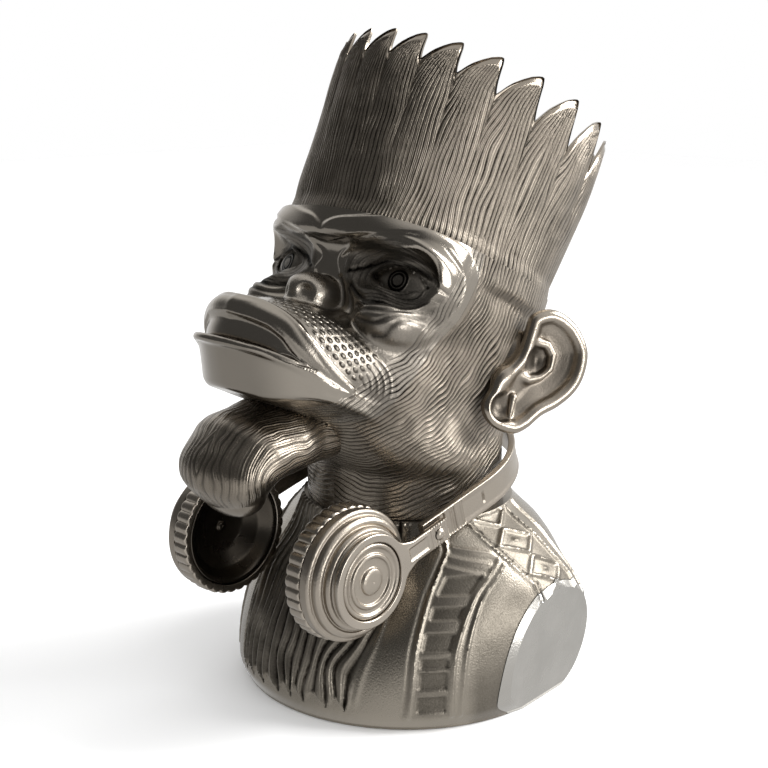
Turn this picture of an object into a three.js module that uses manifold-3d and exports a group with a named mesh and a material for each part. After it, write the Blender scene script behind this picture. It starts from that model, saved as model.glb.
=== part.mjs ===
// A monkey bust in cast aluminium that holds a wine bottle in its open crown of hair.
// Millimetres, +Z up. The bust looks along -Y, +X is the figure's own left side, and the
// origin is the middle of the base, on the surface that it stands on.
import * as THREE from 'three';
import { mergeVertices } from 'three/addons/utils/BufferGeometryUtils.js';
import { ConvexGeometry } from 'three/addons/geometries/ConvexGeometry.js';
import Module from 'manifold-3d';

const wasm = await Module();
wasm.setup();

// Castings
const castWall = 4.5;
const seam = 0.3;
const overrun = 6;
const flangeThickness = 5;

// Torso
const torsoWidth = 176;
const torsoDepth = 166;
const torsoHeight = 94;
const rimLift = 0.5;
const stumpCut = 2;
const stumpHeight = 30.6;
const stumpSetback = 18;
const stumpTilt = THREE.MathUtils.degToRad(17.5);
const stumpToe = THREE.MathUtils.degToRad(6);
const armCapThickness = 2.6;

// Base
const feltThickness = 1.6;
const feltInset = 1.2;
const plateThickness = 3;
const bossRadius = 5.5;
const bossHeight = 13;
const bossSink = 1;
const baseScrewRadius = 1.7;
const baseScrewHeadRadius = 3.2;
const baseScrewLength = 11;

// Neck
const neckRadius = 50;
const neckBoltCircle = 38;
const neckBoreMargin = 0.8;
const neckBoltRadius = 2.4;
const neckBoltHeadRadius = 4.2;
const neckBoltHeadHeight = 3.5;
const neckBoltCount = 3;

// Head
const headSideWall = 8.4;
const headFrontWall = 16.4;
const headHeight = 124;
const headTilt = THREE.MathUtils.degToRad(26);
const headRise = 86.6;
const headSetback = 20;
const lipRoll = 4.4;
const lowerLipRoll = 3.6;

// Crown of hair
const crownStretch = 24;
const crownForward = 20;
const crownSeamHeight = 26;
const crownTopHeight = 115;
const crownFlare = 5.5;
const crownWall = 5;
const tipWall = 1.8;
const toothCount = 19;
const toothRiseFront = 12;
const toothRiseSide = 26;
const ledgeHeight = 75;
const ledgeThickness = 4;

// Bottle cup
const bottleRadius = 44;
const bottlePlay = 3;
const cupWall = 2;
const cupFloorHeight = -20;
const cupFlangeWidth = 7;
const cupRunning = 0.6;
const padThickness = 4;

// Ears
const earHeight = 64;
const earDepth = 56;
const earThickness = 14;
const earToe = THREE.MathUtils.degToRad(24);

// Goatee
const goateeWidth = 54;
const goateeThickness = 34;

// Headphones
const cupSpacing = 73;
const cupDrop = 11.4;
const padRadius = 32;
const padWidth = 9;
const padBand = 4.4;
const knurlCount = 36;
const knurlDepth = 0.8;
const shellDepth = 12.4;
const shellWall = 2.4;
const dishWall = 1.6;
const dishDepth = 12;
const yokeRadius = 21.8;
const yokeBand = 3.2;
const yokeThickness = 3;
const medallionThickness = 3.4;
const armWidth = 13;
const armLength = 52;
const bandTilt = THREE.MathUtils.degToRad(15.2);
const bandHeight = 15;
const bandThickness = 3.6;
const bandNeckGap = 5.5;
const rivetRadius = 1.6;
const rivetHeadRadius = 3.2;
const rivetHeadHeight = 1.4;

// Finishes
const castMetal = { color: 0x9b9388, metalness: 1, roughness: 0.42 };
const polishedMetal = { color: 0xb9b2a8, metalness: 1, roughness: 0.16 };
const darkMetal = { color: 0x5a544c, metalness: 1, roughness: 0.3 };
const steel = { color: 0x8d8f92, metalness: 1, roughness: 0.35 };
const felt = { color: 0x2b2b2d, metalness: 0, roughness: 0.95 };
const cork = { color: 0xa9855c, metalness: 0, roughness: 0.9 };

// Solids

// Turns a closed mesh into a solid, whichever way its faces were wound.
function solidFrom(geometry) {
  const bare = geometry.clone();
  bare.deleteAttribute('normal');
  bare.deleteAttribute('uv');
  const welded = mergeVertices(bare);
  const points = welded.attributes.position;
  const corners = [0, 1, 2].map(() => new THREE.Vector3());
  const faces = [];
  let volume = 0;
  for (let face = 0; face < welded.index.count; face += 3) {
    const [a, b, c] = [0, 1, 2].map((corner) => welded.index.getX(face + corner));
    if (a !== b && b !== c && c !== a) {
      faces.push([a, b, c]);
      [a, b, c].forEach((index, corner) => corners[corner].fromBufferAttribute(points, index));
      volume += corners[0].dot(corners[1].clone().cross(corners[2]));
    }
  }
  const wound = volume < 0 ? faces.map(([a, b, c]) => [a, c, b]) : faces;
  return new wasm.Manifold(new wasm.Mesh({
    numProp: 3,
    vertProperties: Float32Array.from(points.array),
    triVerts: Uint32Array.from(wound.flat()),
  }));
}

function geometryFrom(solid) {
  const data = solid.getMesh();
  const geometry = new THREE.BufferGeometry();
  geometry.setAttribute('position', new THREE.BufferAttribute(data.vertProperties, 3));
  geometry.setIndex(new THREE.BufferAttribute(data.triVerts, 1));
  geometry.computeVertexNormals();
  return geometry;
}

function cut(solid, ...tools) {
  return tools.reduce((left, tool) => left.subtract(tool), solid);
}

function join(solid, ...others) {
  return others.reduce((sum, other) => sum.add(other), solid);
}

function keep(solid, ...moulds) {
  return moulds.reduce((left, mould) => left.intersect(mould), solid);
}

function mirroredX(solid) {
  return solidFrom(geometryFrom(solid).scale(-1, 1, 1));
}

function piece(name, solid, finish) {
  const mesh = new THREE.Mesh(geometryFrom(solid), new THREE.MeshStandardMaterial(finish));
  mesh.name = name;
  return mesh;
}

// Blocks that fill everything above or below a height.
const blockSize = 3 * torsoWidth;

function blockAbove(height) {
  return new THREE.BoxGeometry(blockSize, blockSize, blockSize).translate(0, 0, height + blockSize / 2);
}

function blockBelow(height) {
  return new THREE.BoxGeometry(blockSize, blockSize, blockSize).translate(0, 0, height - blockSize / 2);
}

// A rod along +Z that stands on the given height.
function rod(radius, height, foot, sides = 20) {
  const geometry = new THREE.CylinderGeometry(radius, radius, height, sides);
  return geometry.rotateX(Math.PI / 2).translate(0, 0, foot + height / 2);
}

// A turned part: a profile of [radius, place along the axis], spun about Z.
function turned(profile, sides) {
  const points = profile.map(([radius, along]) => new THREE.Vector2(radius, along));
  return new THREE.LatheGeometry(points, sides).rotateX(Math.PI / 2);
}

// A pan-headed screw or rivet: its head stands on height zero and its shank runs down.
function screw(headRadius, headHeight, shankRadius, shankLength, sides = 16) {
  return turned([
    [0, -shankLength],
    [shankRadius, -shankLength],
    [shankRadius, 0],
    [headRadius, 0],
    [0.9 * headRadius, 0.6 * headHeight],
    [0.55 * headRadius, headHeight],
    [0, headHeight],
  ], sides);
}

// Implicit forms: each is negative inside and close to a distance in millimetres.

function lobe([x, y, z], [sizeX, sizeY, sizeZ]) {
  return (point) => {
    const a = (point.x - x) / sizeX;
    const b = (point.y - y) / sizeY;
    const c = (point.z - z) / sizeZ;
    const near = Math.hypot(a, b, c);
    const slope = Math.hypot(a / sizeX, b / sizeY, c / sizeZ);
    return slope === 0 ? -Math.min(sizeX, sizeY, sizeZ) : (near * (near - 1)) / slope;
  };
}

function roll(start, end, startRadius, endRadius = startRadius) {
  const from = new THREE.Vector3(...start);
  const along = new THREE.Vector3(...end).sub(from);
  const reach = along.lengthSq();
  const offset = new THREE.Vector3();
  return (point) => {
    offset.subVectors(point, from);
    const share = THREE.MathUtils.clamp(offset.dot(along) / reach, 0, 1);
    const radius = THREE.MathUtils.lerp(startRadius, endRadius, share);
    return offset.addScaledVector(along, -share).length() - radius;
  };
}

function blend(first, second, width) {
  const share = THREE.MathUtils.clamp(0.5 + (second - first) / (2 * width), 0, 1);
  return THREE.MathUtils.lerp(second, first, share) - width * share * (1 - share);
}

function carve(metal, tool, width) {
  return -blend(-metal, tool, width);
}

// A closed form whose points lie where rays from its heart last leave an implicit form.
// The grid of points is closest together where its pole faces.
const raySteps = 140;
const poleCrowding = 1.25;

function castForm(field, heart, pole, sides, rings, inset, reach) {
  const geometry = new THREE.SphereGeometry(1, sides, rings);
  const turn = new THREE.Quaternion().setFromUnitVectors(new THREE.Vector3(0, 1, 0), pole);
  const position = geometry.attributes.position;
  const ray = new THREE.Vector3();
  const probe = new THREE.Vector3();
  const outside = (distance) => field(probe.copy(heart).addScaledVector(ray, distance)) > -inset;
  for (let index = 0; index < position.count; index += 1) {
    const column = (index % (sides + 1)) % sides;
    const row = Math.floor(index / (sides + 1));
    const around = (2 * Math.PI * column) / sides;
    const polar = Math.PI * (row / rings) ** poleCrowding;
    const sine = row === 0 || row === rings ? 0 : Math.sin(polar);
    ray.set(-Math.cos(around) * sine, Math.cos(polar), Math.sin(around) * sine).applyQuaternion(turn);
    let step = raySteps;
    while (step > 1 && outside((reach * step) / raySteps)) step -= 1;
    let inner = (reach * step) / raySteps;
    let outer = (reach * (step + 1)) / raySteps;
    for (let halving = 0; halving < 16; halving += 1) {
      const middle = (inner + outer) / 2;
      if (outside(middle)) outer = middle;
      else inner = middle;
    }
    outside(inner);
    position.setXYZ(index, probe.x, probe.y, probe.z);
  }
  return solidFrom(geometry);
}

// Reads a column of a table whose first column rises, on a smooth curve through its rows.
function smoothed(table, at, column) {
  const last = table.length - 1;
  let row = 0;
  while (row < last - 1 && table[row + 1][0] < at) row += 1;
  const line = (index) => table[THREE.MathUtils.clamp(index, 0, last)];
  const run = line(row + 1)[0] - line(row)[0];
  const slope = (index) => {
    const [before, after] = [line(index - 1), line(index + 1)];
    return (run * (after[column] - before[column])) / (after[0] - before[0]);
  };
  const share = THREE.MathUtils.clamp((at - line(row)[0]) / run, 0, 1);
  const square = share * share;
  const cube = square * share;
  return (2 * cube - 3 * square + 1) * line(row)[column] + (cube - 2 * square + share) * slope(row)
    + (3 * square - 2 * cube) * line(row + 1)[column] + (cube - square) * slope(row + 1);
}

// Headphones: worked for the left side, with X running outward from the open face of the pad
const cupForward = torsoDepth / 2;
const cupHeight = torsoHeight - cupDrop;
const alongX = (geometry) => geometry.rotateY(Math.PI / 2);
const padBore = padRadius - padBand;
const shellFoot = padWidth + seam;
const shellTop = shellFoot + shellDepth;
const shellLip = padRadius - knurlDepth;
const yokeFoot = shellTop + seam;
const rivetReach = armLength - armWidth / 2;

// The band lies in a plane that climbs from the cups to the back of the neck. Grown by a
// clearance it is the tool that keeps the head and the torso off it.
const bandOuterHalf = cupSpacing / 2 + yokeFoot - seam;
const bandBackRadius = neckRadius + bandNeckGap;
const bandStart = rivetReach - armWidth / 2;
const bandBend = cupForward / Math.cos(bandTilt);

function bandForm(clearance) {
  const outer = bandOuterHalf + clearance;
  const inner = bandOuterHalf - bandThickness - clearance;
  const height = bandHeight + 2 * clearance;
  const outline = new THREE.Shape();
  outline.moveTo(outer, bandStart - clearance);
  outline.lineTo(outer, bandBend);
  outline.absellipse(0, bandBend, outer, bandBackRadius + bandThickness + clearance, 0, Math.PI, false);
  outline.lineTo(-outer, bandStart - clearance);
  outline.lineTo(-inner, bandStart - clearance);
  outline.lineTo(-inner, bandBend);
  outline.absellipse(0, bandBend, inner, bandBackRadius - clearance, Math.PI, 0, true);
  outline.lineTo(inner, bandStart - clearance);
  outline.closePath();
  const strip = new THREE.ExtrudeGeometry(outline, { depth: height, bevelEnabled: false, curveSegments: 15 });
  return solidFrom(strip.translate(0, 0, -height / 2));
}

// From the band's own plane, where Y runs back from the cups, into the figure's frame.
const bandPlace = new THREE.Matrix4().makeRotationX(bandTilt).setPosition(0, -cupForward, cupHeight);
const placed = (solid, matrix) => solidFrom(geometryFrom(solid).applyMatrix4(matrix));
const bandSpace = placed(bandForm(2 * seam), bandPlace);
const rivetHoles = rod(rivetRadius + seam, blockSize, -blockSize / 2, 16).rotateY(Math.PI / 2);
const screwHole = rod(rivetRadius + seam, cupForward, 0, 16).rotateX(-Math.PI / 2);
const headband = placed(
  cut(
    bandForm(0),
    solidFrom(rivetHoles.translate(0, rivetReach, 0)),
    solidFrom(screwHole.clone().translate(0, bandBend, 0)),
  ),
  bandPlace,
);
const bandScrewHole = placed(solidFrom(screwHole.translate(0, bandBend, 0)), bandPlace);
const bandScrewRoom = placed(solidFrom(
  rod(rivetHeadRadius + seam, cupForward, 0, 16).rotateX(-Math.PI / 2)
    .translate(0, bandBend + bandBackRadius + bandThickness, 0),
), bandPlace);
const bandScrew = placed(solidFrom(
  screw(rivetHeadRadius, rivetHeadHeight, rivetRadius, bandThickness + bandNeckGap + castWall, 14)
    .rotateX(-Math.PI / 2).translate(0, bandBend + bandBackRadius + bandThickness + seam, 0),
), bandPlace);

// Torso: a dome with two cut arm stumps

// Height, half width, half depth and middle, as shares of the torso's own sizes.
const torsoSectionShares = [
  [-0.2, 0.9, 0.94, -0.02],
  [0, 0.94, 0.98, -0.02],
  [0.1, 0.99, 1.03, -0.01],
  [0.42, 1, 0.97, 0.03],
  [0.66, 0.95, 0.84, 0.07],
  [0.85, 0.82, 0.71, 0.08],
  [1, 0.62, 0.64, 0.03],
  [1.2, 0.58, 0.6, 0.02],
];
const shoulderPlaceShares = [0.68, 0.22, 0.41];
const shoulderSizeShares = [0.43, 0.48, 0.45];
const shoulderBlendShare = 0.11;
const torsoHeartShares = [0, 0.1, 0.45];

const torsoHalf = [torsoWidth / 2, torsoDepth / 2, torsoHeight];
const inTorso = (shares) => shares.map((share, axis) => share * torsoHalf[axis]);
const shoulder = lobe(inTorso(shoulderPlaceShares), inTorso(shoulderSizeShares));
const plateFoot = feltThickness + seam;
const plateTop = plateFoot + plateThickness;
const flangeFoot = torsoHeight - flangeThickness;
const mirrorPoint = new THREE.Vector3();

function torsoSection(height) {
  const share = height / torsoHeight;
  return {
    halfWidth: smoothed(torsoSectionShares, share, 1) * torsoHalf[0],
    halfDepth: smoothed(torsoSectionShares, share, 2) * torsoHalf[1],
    middle: smoothed(torsoSectionShares, share, 3) * torsoHalf[1],
  };
}

function torsoField(point) {
  const { halfWidth, halfDepth, middle } = torsoSection(point.z);
  const ring = Math.hypot(point.x / halfWidth, (point.y - middle) / halfDepth);
  const dome = (ring - 1) * Math.min(halfWidth, halfDepth);
  mirrorPoint.set(Math.abs(point.x), point.y, point.z);
  return blend(dome, shoulder(mirrorPoint), shoulderBlendShare * torsoHeight);
}

function torsoForm(inset, sides, rings) {
  const heart = new THREE.Vector3(...inTorso(torsoHeartShares));
  return castForm(torsoField, heart, new THREE.Vector3(0, 0, 1), sides, rings, inset, 1.2 * torsoWidth);
}

// Everything outside the cut face of the left arm stump, sunk in by a depth.
function beyondStump(depth) {
  const block = new THREE.BoxGeometry(blockSize, blockSize, blockSize).translate(blockSize / 2 - depth, 0, 0);
  block.rotateY(-stumpTilt).rotateZ(stumpToe).translate(torsoHalf[0] - stumpCut, stumpSetback, stumpHeight);
  return solidFrom(block);
}

function bothSides(solid) {
  return join(solid, mirroredX(solid));
}

// An oval disc that follows the torso's inner wall at the height of the base plate.
function baseOval(inset, foot, top) {
  const { halfWidth, halfDepth, middle } = torsoSection(plateTop);
  const outline = new THREE.Shape().absellipse(0, 0, halfWidth - inset, halfDepth - inset, 0, 2 * Math.PI);
  const disc = new THREE.ExtrudeGeometry(outline, { depth: top - foot, bevelEnabled: false, curveSegments: 22 });
  return solidFrom(disc.translate(0, middle, foot));
}

const bossAngles = [0.25, 0.75, 1.25, 1.75].map((turn) => turn * Math.PI);

function atBosses(makeGeometry) {
  const { halfWidth, halfDepth, middle } = torsoSection(plateTop);
  const reach = castWall + bossRadius - bossSink;
  return bossAngles.map((angle) => solidFrom(makeGeometry().translate(
    (halfWidth - reach) * Math.cos(angle),
    middle + (halfDepth - reach) * Math.sin(angle),
    0,
  )));
}

const neckBoltAngles = Array.from({ length: neckBoltCount }, (_, index) => (
  Math.PI / 2 + (2 * Math.PI * index) / neckBoltCount
));

function atNeckBolts(makeGeometry) {
  return neckBoltAngles.map((angle) => solidFrom(makeGeometry().translate(
    neckBoltCircle * Math.cos(angle),
    neckBoltCircle * Math.sin(angle),
    0,
  )));
}

const neckBoreRadius = neckBoltCircle - neckBoltHeadRadius - neckBoreMargin;
const boltHole = () => rod(neckBoltRadius + seam, 2 * flangeThickness + 2 * overrun, flangeFoot - overrun, 12);
const torsoOuter = keep(torsoForm(0, 44, 22), solidFrom(blockAbove(rimLift)), solidFrom(blockBelow(torsoHeight)));
const torsoCavity = cut(
  keep(torsoForm(castWall, 22, 12), solidFrom(blockAbove(plateTop + seam)), solidFrom(blockBelow(flangeFoot))),
  bothSides(beyondStump(armCapThickness + seam + castWall)),
);
const screwBosses = atBosses(() => rod(bossRadius, bossHeight, plateTop + seam, 12));
const torsoShell = cut(
  join(cut(torsoOuter, bothSides(beyondStump(armCapThickness + seam)), torsoCavity), ...screwBosses),
  bandSpace,
  baseOval(castWall, -overrun, plateTop + seam),
  solidFrom(rod(neckBoreRadius, flangeThickness + 2 * overrun, flangeFoot - overrun, 32)),
  ...atBosses(() => rod(baseScrewRadius + seam, baseScrewLength + overrun, plateTop - overrun, 10)),
  ...atNeckBolts(boltHole),
);
const armCap = cut(keep(torsoOuter, beyondStump(armCapThickness)), beyondStump(0));

// Base: a plate screwed up into four bosses, and a felt that hides its screws
const screwHeadDepth = plateThickness / 2;
const basePlate = cut(
  baseOval(castWall + seam, plateFoot, plateTop),
  ...atBosses(() => rod(baseScrewRadius + seam, plateThickness + 2 * overrun, plateFoot - overrun, 10)),
  ...atBosses(() => rod(baseScrewHeadRadius + seam, screwHeadDepth + overrun, plateFoot - overrun, 12)),
);
const baseFelt = baseOval(castWall + feltInset, 0, feltThickness);
const baseScrews = atBosses(() => (
  screw(baseScrewHeadRadius, screwHeadDepth - 2 * seam, baseScrewRadius, baseScrewLength, 8)
    .rotateX(Math.PI).translate(0, 0, plateFoot + screwHeadDepth - seam)
));
const neckBolts = atNeckBolts(() => (
  screw(neckBoltHeadRadius, neckBoltHeadHeight, neckBoltRadius, 2 * flangeThickness, 10)
    .rotateX(Math.PI).translate(0, 0, flangeFoot - seam)
));

// Head: worked in its own frame, where the face looks along -Y and the bottle's axis is +Z
const headFrame = new THREE.Group();
headFrame.position.set(0, headSetback, torsoHeight + headRise);
headFrame.rotation.x = -headTilt;
headFrame.updateMatrix();
const toHead = headFrame.matrix.clone().invert();

// Each row: side, forward and up, then the half sizes, then the width of the blend.
const skullShares = [
  [0, 0.21, 0.06, 1, 1, 1, 0],
  [0, 0.03, -0.55, 0.91, 0.79, 0.81, 0.31],
  [0.38, 0.7, -0.68, 0.55, 0.55, 0.55, 0.24],
  [0.55, 0.76, 0.13, 0.5, 0.55, 0.52, 0.17],
  [0, 0.97, 0.32, 0.93, 0.42, 0.19, 0.14],
  [0, 0.18, -1.06, 0.93, 0.88, 0.39, 0.24],
];
const socketShares = [0.52, 1.44, -0.05, 0.4, 0.29, 0.27, 0.09];
const faceShares = [
  [0.62, 0.97, -0.03, 0.29, 0.2, 0.19, 0.07],
  [0, 1.18, -0.74, 0.71, 0.66, 0.38, 0.2],
];
const muzzleShares = [
  [0, 1.18, -0.74, 0.76, 0.7, 0.42, 0],
  [0, 1.52, -0.69, 0.53, 0.48, 0.24, 0.17],
  [0, 1.3, -0.29, 0.19, 0.18, 0.15, 0.09],
  [0, 1.39, -0.97, 0.62, 0.58, 0.19, 0.1],
];
// The two lips, from the middle to the corner of the mouth.
const upperLipShares = [[0, 1.91, -0.5], [0.43, 1.68, -0.6], [0.7, 1.18, -0.9]];
const lowerLipShares = [[0, 2.06, -0.77], [0.43, 1.68, -0.92], [0.7, 1.18, -0.94]];
const lipBlendShare = 0.13;
const goateeShares = [
  // side, forward, up and radius
  [0, 0.91, -1.19, 0.94],
  [0, 1.26, -1.37, 1],
  [0, 1.46, -1.53, 1],
  [0, 1.53, -1.71, 0.94],
  [0, 1.4, -1.84, 0.7],
];
const goateeHeartShares = [0, 1.4, -1.5];
// Corners of the cone of sight that holds the bare face, as seen from the head's heart.
const headHeartShares = [0, 0.3, -0.24];
const skullHeartShares = [0, 0.3, 0.15];
const muzzleHeartShares = [0, 1.2, -0.7];
const faceEdgeShares = [
  [0.98, 0.65, 0.7],
  [0.98, 0.65, 0.19],
  [0.97, 0.68, -0.11],
  [0.86, 0.86, -0.4],
  [0.79, 0.94, -0.97],
  [0.52, 1.39, -1.21],
  [0, 1.58, -1.22],
];
const lipLineShares = [[0, 2.09, -0.8], [0, 1.18, -0.93]];

// The head is as wide and deep as the well for the bottle cup and the walls around it.
const cupRadius = bottleRadius + bottlePlay + cupWall;
const wellRadius = cupRadius + cupRunning;
const headWidth = 2 * (wellRadius + headSideWall);
const headDepth = 2 * (wellRadius + headFrontWall);
const neckFoot = torsoHeight + seam;
const headHalf = [headWidth / 2, headDepth / 2, headHeight / 2];
const inHead = ([side, forward, up]) => [side * headHalf[0], -forward * headHalf[1], up * headHalf[2]];
const headSizes = (shares) => shares.map((share, axis) => share * headHalf[axis]);
const headLobe = (row) => ({ form: lobe(inHead(row), headSizes(row.slice(3, 6))), width: row[6] * headHalf[0] });
const skullLobes = skullShares.map(headLobe);
const socket = headLobe(socketShares);
const faceLobes = faceShares.map(headLobe);
const muzzleLobes = muzzleShares.map(headLobe);

function lipRolls(shares, radius) {
  return shares.slice(1).map((share, index) => roll(inHead(shares[index]), inHead(share), radius));
}

const lips = [...lipRolls(upperLipShares, lipRoll), ...lipRolls(lowerLipShares, lowerLipRoll)];

// The crown's oval section: it swells as it rises and draws in again at the tips.
const crownHalfWidth = cupRadius + cupFlangeWidth + crownWall;
const crownHalfDepth = crownHalfWidth + crownStretch / 2;
const crownRise = crownTopHeight - crownSeamHeight;
const crownSwell = 0.62 * Math.PI;

function crownSection(height) {
  const swell = crownFlare * Math.sin(crownSwell * Math.max(0, (height - crownSeamHeight) / crownRise));
  return { halfWidth: crownHalfWidth + swell, halfDepth: crownHalfDepth + swell };
}

const hairRootDepth = 0.2 * headHalf[2];
const hairRootBlend = 0.07 * headHalf[0];

function hairRootField(point) {
  const { halfWidth, halfDepth } = crownSection(point.z);
  const ring = Math.hypot(point.x / halfWidth, (point.y + crownForward) / halfDepth);
  const column = (ring - 1) * Math.min(halfWidth, halfDepth);
  return carve(column, point.z - (crownSeamHeight - hairRootDepth), hairRootBlend);
}

const neckPoint = new THREE.Vector3();
const neckBlend = 0.07 * headHalf[0];

function neckField(point) {
  neckPoint.copy(point).applyMatrix4(headFrame.matrix);
  const column = Math.hypot(neckPoint.x, neckPoint.y) - neckRadius;
  return Math.max(column, neckPoint.z - torsoHeight - headRise, torsoHeight - headRise / 4 - neckPoint.z);
}

const facePoint = new THREE.Vector3();

function blendAll(lobes, start = blockSize) {
  return lobes.reduce((metal, { form, width }) => (
    width ? blend(metal, form(facePoint), width) : Math.min(metal, form(facePoint))
  ), start);
}

function headField(point) {
  facePoint.set(Math.abs(point.x), point.y, point.z);
  let metal = blendAll(skullLobes);
  metal = carve(metal, socket.form(facePoint), socket.width);
  metal = blendAll(faceLobes, metal);
  metal = blend(metal, hairRootField(facePoint), hairRootBlend);
  return blend(metal, neckField(point), neckBlend);
}

function muzzleField(point) {
  facePoint.set(Math.abs(point.x), point.y, point.z);
  return lips.reduce((metal, lip) => (
    blend(metal, lip(facePoint), lipBlendShare * headHalf[0])
  ), blendAll(muzzleLobes));
}

const faceward = new THREE.Vector3(0, -1, 0);

function skullForm(inset, sides, rings) {
  const heart = new THREE.Vector3(...inHead(skullHeartShares));
  return castForm(headField, heart, faceward, sides, rings, inset, headDepth + headRise);
}

function muzzleForm(inset) {
  const heart = new THREE.Vector3(...inHead(muzzleHeartShares));
  return castForm(muzzleField, heart, faceward, 34, 22, inset, headDepth);
}

// The cone of sight, moved back to open a seam round the face.
const coneReach = 4;

function faceCone(shift) {
  const heart = new THREE.Vector3(...inHead(headHeartShares));
  const edges = faceEdgeShares.flatMap((share) => [share, [-share[0], share[1], share[2]]]);
  const rim = edges.map((share) => (
    new THREE.Vector3(...inHead(share)).sub(heart).multiplyScalar(coneReach).add(heart)
  ));
  return solidFrom(new ConvexGeometry([heart, ...rim]).translate(0, shift, 0));
}

// Everything below the lip line, which falls from the lower lip's tip to its corners.
function belowLips(drop) {
  const [tip, corner] = lipLineShares.map((share) => new THREE.Vector3(...inHead(share)));
  const slope = Math.atan2(tip.z - corner.z, corner.y - tip.y);
  const block = blockBelow(-drop).rotateX(-slope);
  return solidFrom(block.translate(corner.x, corner.y, corner.z));
}

const aboveNeck = (height) => solidFrom(blockAbove(height).applyMatrix4(toHead));
const neckRod = (radius) => (
  solidFrom(rod(radius, flangeThickness + 2 * overrun, neckFoot - overrun, 32).applyMatrix4(toHead))
);
const onBottleAxis = (geometry) => solidFrom(geometry.translate(0, -crownForward, 0));
const cupSpace = onBottleAxis(rod(wellRadius, crownTopHeight, cupFloorHeight - seam, 36));
const headOuter = join(skullForm(0, 44, 30), muzzleForm(0));
const headGrown = join(skullForm(-seam, 44, 30), muzzleForm(-seam));
const headStock = keep(headOuter, solidFrom(blockBelow(crownSeamHeight)), aboveNeck(neckFoot));

// The head is hollow in its main lobes, under the hair's root and down the neck.
function lobeHollow(row, sides, rings) {
  const inner = headSizes(row.slice(3, 6)).map((size) => size - castWall);
  return solidFrom(new THREE.SphereGeometry(1, sides, rings).scale(...inner).translate(...inHead(row)));
}

const hairRootFloor = crownSeamHeight - hairRootDepth + castWall;
const headCavity = keep(
  join(
    lobeHollow(skullShares[0], 18, 12),
    lobeHollow(skullShares[1], 16, 10),
    lobeHollow(faceShares[1], 12, 8),
    onBottleAxis(
      rod(1, hairRootDepth, hairRootFloor, 28).scale(crownHalfWidth - crownWall, crownHalfDepth - crownWall, 1),
    ),
    solidFrom(rod(neckRadius - castWall, headRise / 2, neckFoot, 22).applyMatrix4(toHead)),
  ),
  aboveNeck(neckFoot + flangeThickness),
);
const headHollow = cut(
  headStock,
  headCavity,
  cupSpace,
  placed(join(bandSpace, bandScrewHole, bandScrewRoom), toHead),
);
const coneShift = 2 * seam;
const headShell = cut(
  headHollow,
  faceCone(coneShift),
  neckRod(neckBoreRadius),
  ...atNeckBolts(() => boltHole()).map((hole) => placed(hole, toHead)),
);
const faceFront = keep(headHollow, faceCone(0));
const faceMask = cut(faceFront, belowLips(0));
const lowerJaw = keep(faceFront, belowLips(seam));

// Goatee: a swept lock that curls forward and down from under the jaw
const goateeRadius = goateeThickness / 2;
const goateeSqueeze = goateeThickness / goateeWidth;
const goateeBlend = 0.3 * goateeRadius;
const goateeRolls = goateeShares.slice(1).map((share, index) => roll(
  inHead(goateeShares[index]),
  inHead(share),
  goateeShares[index][3] * goateeRadius,
  share[3] * goateeRadius,
));
const lockPoint = new THREE.Vector3();

function goateeField(point) {
  lockPoint.set(point.x * goateeSqueeze, point.y, point.z);
  return goateeRolls.reduce((metal, form) => blend(metal, form(lockPoint), goateeBlend), blockSize);
}

const goatee = cut(
  castForm(goateeField, new THREE.Vector3(...inHead(goateeHeartShares)), new THREE.Vector3(0, -1, 0),
    22, 14, 0, 2 * goateeWidth),
  headGrown,
);

// Ears: each is a dished plate with a rolled rim
const earHalf = [earThickness / 2, earDepth / 2, earHeight / 2];
const earPlaceShares = [1.1, -0.12, -0.23];
const inEar = (shares) => shares.map((share, axis) => share * earHalf[axis]);
const earPlate = lobe(inEar([0, 0.14, 0.06]), inEar([1, 1.04, 0.94]));
const earLobe = lobe(inEar([0, -0.36, -0.44]), inEar([1, 0.5, 0.56]));
const earDish = lobe(inEar([0.86, 0.14, 0.06]), inEar([0.86, 0.79, 0.75]));
const earConcha = lobe(inEar([-0.29, 0.07, 0]), inEar([0.71, 0.64, 0.69]));
const earBlend = 0.5 * earThickness;

function earField(point) {
  const plate = blend(earPlate(point), earLobe(point), earBlend);
  return blend(carve(plate, earDish(point), earBlend / 2), earConcha(point), earBlend / 2);
}

const earBlank = castForm(earField, new THREE.Vector3(-earHalf[0] / 3, 0, 0), new THREE.Vector3(1, 0, 0),
  22, 12, 0, 1.2 * earHeight);
const earGeometry = geometryFrom(earBlank).rotateZ(-earToe).translate(...inHead(earPlaceShares));
const leftEar = cut(solidFrom(earGeometry), headGrown);
const rightEar = cut(mirroredX(solidFrom(earGeometry)), headGrown);

// Crown: an open wall of hair whose top is cut into leaning teeth
const toothPhase = THREE.MathUtils.degToRad(7);
const toothWarp = 0.25;
// Each step round one tooth: how far round it lies, and how high it stands.
const toothStepShares = [[0, 1], [0.1, 0.62], [0.24, 0], [0.46, 0.5], [0.74, 0.86]];
const crownSides = toothCount * toothStepShares.length;

function crownTop(angle, heightShare) {
  const rise = toothRiseFront + (toothRiseSide - toothRiseFront) * Math.min(1, 1 - Math.cos(angle));
  return crownTopHeight - rise * (1 - heightShare);
}

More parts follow.
